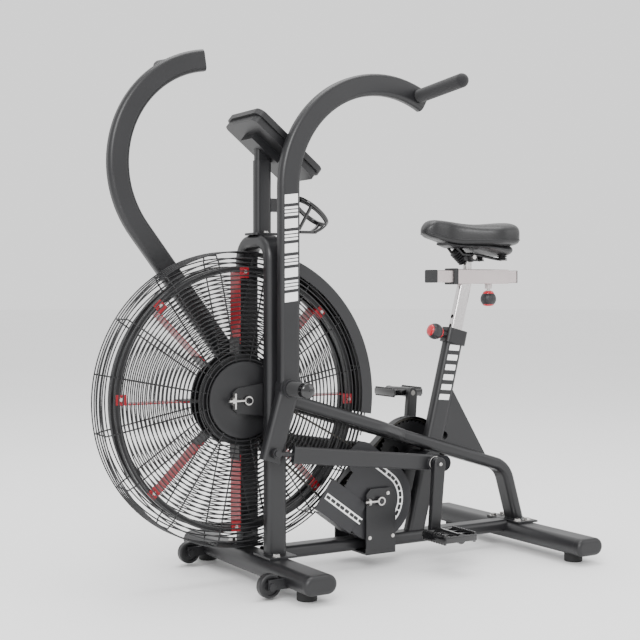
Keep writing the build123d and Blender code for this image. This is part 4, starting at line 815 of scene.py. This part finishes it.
def stripe_with_links(name, path, y, half):
    """White printed band along a path, with a dark pattern of chain links on it."""
    mesh = bmesh.new()
    sides = []
    for (x, z), (nx, nz) in path:
        sides.append(((x - nx * half, z - nz * half), (x + nx * half, z + nz * half)))
    verts = [(mesh.verts.new((a[0], y, a[1])), mesh.verts.new((b[0], y, b[1]))) for a, b in sides]
    for (a, b), (c, d) in zip(verts, verts[1:]):
        mesh.faces.new((a, b, d, c))
    give_thickness(mesh, PRINT_THICK)
    piece(name + "_band", mesh, "root", WHITE)
    mesh = bmesh.new()
    length = 0.0
    spacing = 2.05 * half
    last = None
    next_stop = spacing / 2
    centres = []
    for (x, z), normal in path:
        if last is not None:
            length += math.hypot(x - last[0], z - last[1])
        if length >= next_stop:
            centres.append((Vector((x, 0, z)), normal))
            next_stop += spacing
        last = (x, z)
    for centre, normal in centres:
        run = Vector((normal[1], 0, -normal[0])).normalized()
        side = Vector((normal[0], 0, normal[1])).normalized()
        long = 0.86 * half
        tall = 0.52 * half
        ring = []
        for k in range(20):
            turn = 2 * math.pi * k / 20
            px = math.copysign(abs(math.cos(turn)) ** 0.5, math.cos(turn)) * long
            pz = math.copysign(abs(math.sin(turn)) ** 0.5, math.sin(turn)) * tall
            point = centre + run * px + side * pz
            ring.append((point.x, point.z))
        flat_patch(mesh, ring, y - 0.15 * MM)
    give_thickness(mesh, 0.12 * MM)
    piece(name + "_links", mesh, "root", DARK_COAT)


def drive_directions():
    jack = JOINTS["jackshaft_spin"]["pos_m"]
    fan = JOINTS["fan_spin"]["pos_m"]
    along = Vector((fan[0] - jack[0], 0, fan[2] - jack[2])).normalized()
    across = Vector((-along.z, 0, along.x))
    return Vector((jack[0], 0, jack[2])), along, across


STRIPE_OUT = 66 * MM
STRIPE_HALF = 7.5 * MM


def cover_stripes():
    """Printed chain bands on the two left covers: one follows the round cover, one is straight."""
    centre, along, across = drive_directions()
    upper_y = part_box("upper_chain_cover")[0].y - 0.25 * MM
    lower_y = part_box("lower_chain_cover")[0].y - 0.25 * MM
    path = []
    for i in range(16):
        point = centre + along * (95 - 95 * i / 16) * MM - across * STRIPE_OUT
        path.append(((point.x, point.z), (-across.x, -across.z)))
    for i in range(46):
        turn = math.radians(150 * i / 45)
        normal = -across * math.cos(turn) - along * math.sin(turn)
        point = centre + normal * STRIPE_OUT
        path.append(((point.x, point.z), (normal.x, normal.z)))
    stripe_with_links("upper_cover", path, upper_y, STRIPE_HALF)
    path = []
    for i in range(60):
        point = centre + along * (130 - 118 * i / 59) * MM + across * STRIPE_OUT
        path.append(((point.x, point.z), (across.x, across.z)))
    stripe_with_links("lower_cover", path, lower_y, STRIPE_HALF)


# ---------------------------------------------------------------- bottle cage
STRUT_RADIUS = 4.0 * MM


def bottle_cage():
    """Moulded bottle cage: a double hoop that dips to the rear, four struts, a foot and a back."""
    low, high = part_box("bottle_cage")
    middle = (low + high) / 2
    radius = (high.x - low.x) / 2 - 5 * MM
    lean = math.tan(math.radians(38))
    centre_z = high.z - 6 * MM - radius * lean

    def hoop_point(angle, r, drop=0.0):
        x = r * math.cos(angle)
        return Vector((middle.x + x, middle.y + r * math.sin(angle), centre_z - x * lean - drop))

    mesh = bmesh.new()
    for r, drop, thick in ((radius, 0.0, 4.6 * MM), (radius - 1.5 * MM, 5 * MM, 3.4 * MM)):
        loop = [hoop_point(2 * math.pi * i / 56, r, drop) for i in range(56)]
        bar_mesh(mesh, loop, thick, 14, closed=True)
    foot_z = low.z + 5 * MM
    for side in (-1, 1):
        start = hoop_point(side * math.radians(30), radius)
        foot = Vector((middle.x + 4 * MM, middle.y + side * 11 * MM, foot_z))
        strut = [start.lerp(foot, k / 10) + Vector((6 * MM * math.sin(math.pi * (k / 10)), 0, 0))
                 for k in range(11)]
        bar_mesh(mesh, strut, STRUT_RADIUS, 12)
        start = hoop_point(side * math.radians(118), radius, 4 * MM)
        foot = Vector((low.x + 6 * MM, middle.y + side * 10 * MM, foot_z + 6 * MM))
        strut = [start.lerp(foot, k / 8) for k in range(9)]
        bar_mesh(mesh, strut, STRUT_RADIUS, 12)
    box_mesh(mesh, (middle.x - 12 * MM, middle.y, foot_z),
             (radius * 1.2, 26 * MM, 7 * MM), bevel=2.5 * MM)
    box_mesh(mesh, (low.x + 3 * MM, middle.y, middle.z + 2 * MM),
             (5.4 * MM, 24 * MM, 88 * MM), bevel=2 * MM)
    made = piece("bottle_holder", mesh, "root", GLOSS_BLACK, 50)
    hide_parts("bottle_cage")


# ---------------------------------------------------------------- guard dishes, pegs, pedals, bolts
def guard_dishes():
    """Pressed centre discs of the two grilles, with a raised boss and a rolled rim."""
    fan = JOINTS["fan_spin"]["pos_m"]
    for side, node in ((-1, "left_fan_guard"), (1, "right_fan_guard")):
        low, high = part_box(node)
        face = low.y if side < 0 else high.y
        mesh = bmesh.new()
        turned_mesh(mesh, (fan[0], face - side * 2.6 * MM, fan[2]), (0, side, 0),
                    [(0, 14 * MM), (5.2 * MM, 14 * MM), (6.0 * MM, 18 * MM), (6.0 * MM, 34 * MM),
                     (4.4 * MM, 40 * MM), (3.6 * MM, 48 * MM), (3.4 * MM, 74 * MM),
                     (4.4 * MM, 80 * MM), (3.6 * MM, 85 * MM), (0, 86 * MM)], 72)
        piece(node + "_dish", mesh, "root", PLASTIC, 40)


PEG_CAP_RADIUS = 16.9 * MM


def peg_caps():
    """Glossy domed cap on each foot peg."""
    low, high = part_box("foot_pegs")
    z = (low.z + high.z) / 2
    x = (low.x + high.x) / 2
    for side in (-1, 1):
        end = low.y if side < 0 else high.y
        mesh = bmesh.new()
        profile = [(0, NEAR_AXIS), (0, PEG_CAP_RADIUS)]
        for i in range(9):
            angle = math.radians(90 * i / 8)
            profile.append((14 * MM + 7 * MM * math.sin(angle),
                            PEG_CAP_RADIUS * math.cos(angle) + 0.3 * MM))
        profile.append((21 * MM, NEAR_AXIS))
        turned_mesh(mesh, (x, end - side * 20 * MM, z), (0, side, 0), profile, 40)
        name = "left_peg_cap" if side < 0 else "right_peg_cap"
        piece(name, mesh, "root", GLOSS_BLACK, 50)


def pedals():
    """Caged platform pedals: toothed rims joined by a hub and slanted bridges, open between."""
    for side in ("left", "right"):
        low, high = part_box(side + "_pedal")
        out = -1 if side == "left" else 1
        axle = JOINTS[side + "_pedal_spin"]["pos_m"]
        mesh = bmesh.new()
        inner = high.y if out < 0 else low.y
        outer = low.y if out < 0 else high.y
        start = inner + out * 18 * MM
        long = abs(outer - start)
        middle_y = (outer + start) / 2
        half = (high.x - low.x) / 2
        tall = (high.z - low.z) * 0.78
        turned_mesh(mesh, (axle[0], start, axle[2]), (0, out, 0),
                    [(0, NEAR_AXIS), (0, 11.5 * MM), (4 * MM, 13 * MM), (long - 16 * MM, 11 * MM),
                     (long - 8 * MM, 12.5 * MM), (long - 2 * MM, 12 * MM),
                     (long - 2 * MM, NEAR_AXIS)], 28)
        for end in (-1, 1):
            rim_x = axle[0] + end * (half - 4 * MM)
            box_mesh(mesh, (rim_x, middle_y, axle[2]), (6 * MM, long * 0.9, tall), bevel=2 * MM)
            for k in range(9):
                at = middle_y + (k - 4) * long * 0.1
                for up in (-1, 1):
                    box_mesh(mesh, (rim_x, at, axle[2] + up * tall * 0.52),
                             (6 * MM, long * 0.045, 4.5 * MM), bevel=0.8 * MM)
            for share in (-0.44, -0.1, 0.2, 0.44):
                box_mesh(mesh, (axle[0] + end * half * 0.5, middle_y + share * long, axle[2]),
                         (half * 0.95, 6 * MM, tall * 0.66), bevel=1.5 * MM)
            box_mesh(mesh, (axle[0] + end * half * 0.48, middle_y, axle[2]),
                     (5 * MM, long * 0.86, tall * 0.5), bevel=1.5 * MM)
        for edge in (start + out * 3.5 * MM, outer - out * 4 * MM):
            box_mesh(mesh, (axle[0], edge, axle[2]), (half * 1.9, 6 * MM, tall * 0.8), bevel=2 * MM)
        body = side + "_pedal_body"
        made = piece(side + "_pedal_cage", mesh, body, GLOSS_BLACK, 40)
        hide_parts(side + "_pedal")
        mesh = bmesh.new()
        turned_mesh(mesh, (axle[0], inner, axle[2]), (0, out, 0), plug(6.9 * MM, 20 * MM), 24)
        piece(side + "_pedal_axle", mesh, body, STEEL)


RACE_RADIUS = 15.5 * MM
RACE_OUT = 115.3 * MM


def crank_fittings():
    """Dark cap and plated bolt on each eccentric's end, and the bright race ring on each rod."""
    low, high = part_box("crank_arms")
    for side, out in (("left", -1), ("right", 1)):
        pin = JOINTS[side + "_rod_turn"]["pos_m"]
        face = low.y if out < 0 else high.y
        mesh = bmesh.new()
        turned_mesh(mesh, (pin[0], face - out * 0.5 * MM, pin[2]), (0, out, 0),
                    plug(8.6 * MM, 0.9 * MM), 32)
        piece(side + "_crank_cap", mesh, "crank", DARK_COAT)
        mesh = bmesh.new()
        turned_mesh(mesh, (pin[0], face, pin[2]), (0, out, 0),
                    [(0, NEAR_AXIS), (0, 4.6 * MM), (2.4 * MM, 4.6 * MM), (3.2 * MM, 3.4 * MM),
                     (3.2 * MM, 2.2 * MM), (1.6 * MM, 2.0 * MM), (1.6 * MM, 0.6 * MM)], 6)
        piece(side + "_crank_bolt", mesh, "crank", ZINC)
        mesh = bmesh.new()
        ring = [(pin[0] + RACE_RADIUS * math.cos(a), out * RACE_OUT, pin[2] + RACE_RADIUS * math.sin(a))
                for a in [2 * math.pi * i / 40 for i in range(40)]]
        bar_mesh(mesh, ring, 1.0 * MM, 8, closed=True)
        piece(side + "_rod_race", mesh, side + "_rod", ZINC)


def blade_bolts():
    """Plated hexagon bolt on each blade's tab, where the blade is fixed to the near hoop."""
    low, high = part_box("fan_blades")
    hub = JOINTS["fan_spin"]["pos_m"]
    mesh = bmesh.new()
    reach = (high.x - low.x) / 2 - 10 * MM
    for step in range(8):
        turn = math.radians(45 * step)
        c, s = math.cos(turn), math.sin(turn)
        x = hub[0] + reach * c + 12 * MM * s
        z = hub[2] + reach * s - 12 * MM * c
        turned_mesh(mesh, (x, low.y + 1.2 * MM, z), (0, -1, 0),
                    [(0, NEAR_AXIS), (0, 5.6 * MM), (1.0 * MM, 5.6 * MM), (1.0 * MM, 4.2 * MM),
                     (3.4 * MM, 4.2 * MM), (3.4 * MM, NEAR_AXIS)], 6)
    piece("blade_tab_bolts", mesh, "fan", ZINC)


# ---------------------------------------------------------------- floor, lights and camera
FLOOR_RADIUS = 40.0


def stage():
    """Pale floor that runs out of view."""
    mesh = bmesh.new()
    bmesh.ops.create_circle(mesh, cap_ends=True, segments=96, radius=FLOOR_RADIUS)
    data = bpy.data.meshes.new("floor")
    mesh.to_mesh(data)
    mesh.free()
    floor = bpy.data.objects.new("floor", data)
    bpy.context.scene.collection.objects.link(floor)
    floor.data.materials.append(FLOOR)


def soft_box(name, place, target, width, height, power):
    """Rectangular area light, aimed at a point."""
    light = bpy.data.lights.new(name, "AREA")
    light.shape = "RECTANGLE"
    light.size = width
    light.size_y = height
    light.energy = power
    lamp = bpy.data.objects.new(name, light)
    lamp.location = place
    lamp.rotation_euler = (Vector(target) - Vector(place)).to_track_quat("-Z", "Y").to_euler()
    bpy.context.scene.collection.objects.link(lamp)


WORLD_STRENGTH = 1.35


def studio():
    """White surround, one broad key from the left front, a fill and a top light."""
    world = bpy.data.worlds.new("studio")
    world.use_nodes = True
    surround = world.node_tree.nodes["Background"]
    surround.inputs["Color"].default_value = (1, 1, 1, 1)
    surround.inputs["Strength"].default_value = WORLD_STRENGTH
    bpy.context.scene.world = world
    soft_box("key", (-2.6, -3.4, 3.0), (0, 0, 0.6), 2.0, 1.8, 170)
    soft_box("fill", (2.8, -2.6, 2.0), (0, 0, 0.5), 2.2, 2.2, 25)
    soft_box("top", (0.2, 0.2, 4.0), (0, 0, 0), 2.6, 2.6, 110)


CAMERA_AZIMUTH = math.radians(31.07)
CAMERA_PITCH = math.radians(1.37)
CAMERA_PLACE = (-1.5405, -2.5072, 0.655)
CAMERA_LENS = 70.48


def camera():
    """Camera from the front left at hip height, level but for a slight downward look."""
    data = bpy.data.cameras.new("camera")
    data.sensor_width = 36
    data.lens = CAMERA_LENS
    data.clip_end = 100
    view = bpy.data.objects.new("camera", data)
    view.location = CAMERA_PLACE
    forward = Vector((math.sin(CAMERA_AZIMUTH) * math.cos(CAMERA_PITCH),
                      math.cos(CAMERA_AZIMUTH) * math.cos(CAMERA_PITCH), -math.sin(CAMERA_PITCH)))
    view.rotation_euler = forward.to_track_quat("-Z", "Y").to_euler()
    bpy.context.scene.collection.objects.link(view)
    bpy.context.scene.camera = view


camera()
studio()
stage()
paint_nodes()
saddle_piece()
saddle_seams()
saddle_underside()
knobs()
chain("crank_chain_links", "crank_chain", "crank_spin", pitch_radius(CRANK_TEETH),
      "jackshaft_spin", pitch_radius(JACK_SMALL_TEETH))
chain("fan_chain_links", "fan_chain", "jackshaft_spin", pitch_radius(JACK_BIG_TEETH),
      "fan_spin", pitch_radius(FAN_TEETH))
arm_bars()
seat_tube_bars()
cover_stripes()
bottle_cage()
guard_dishes()
peg_caps()
pedals()
crank_fittings()
blade_bolts()
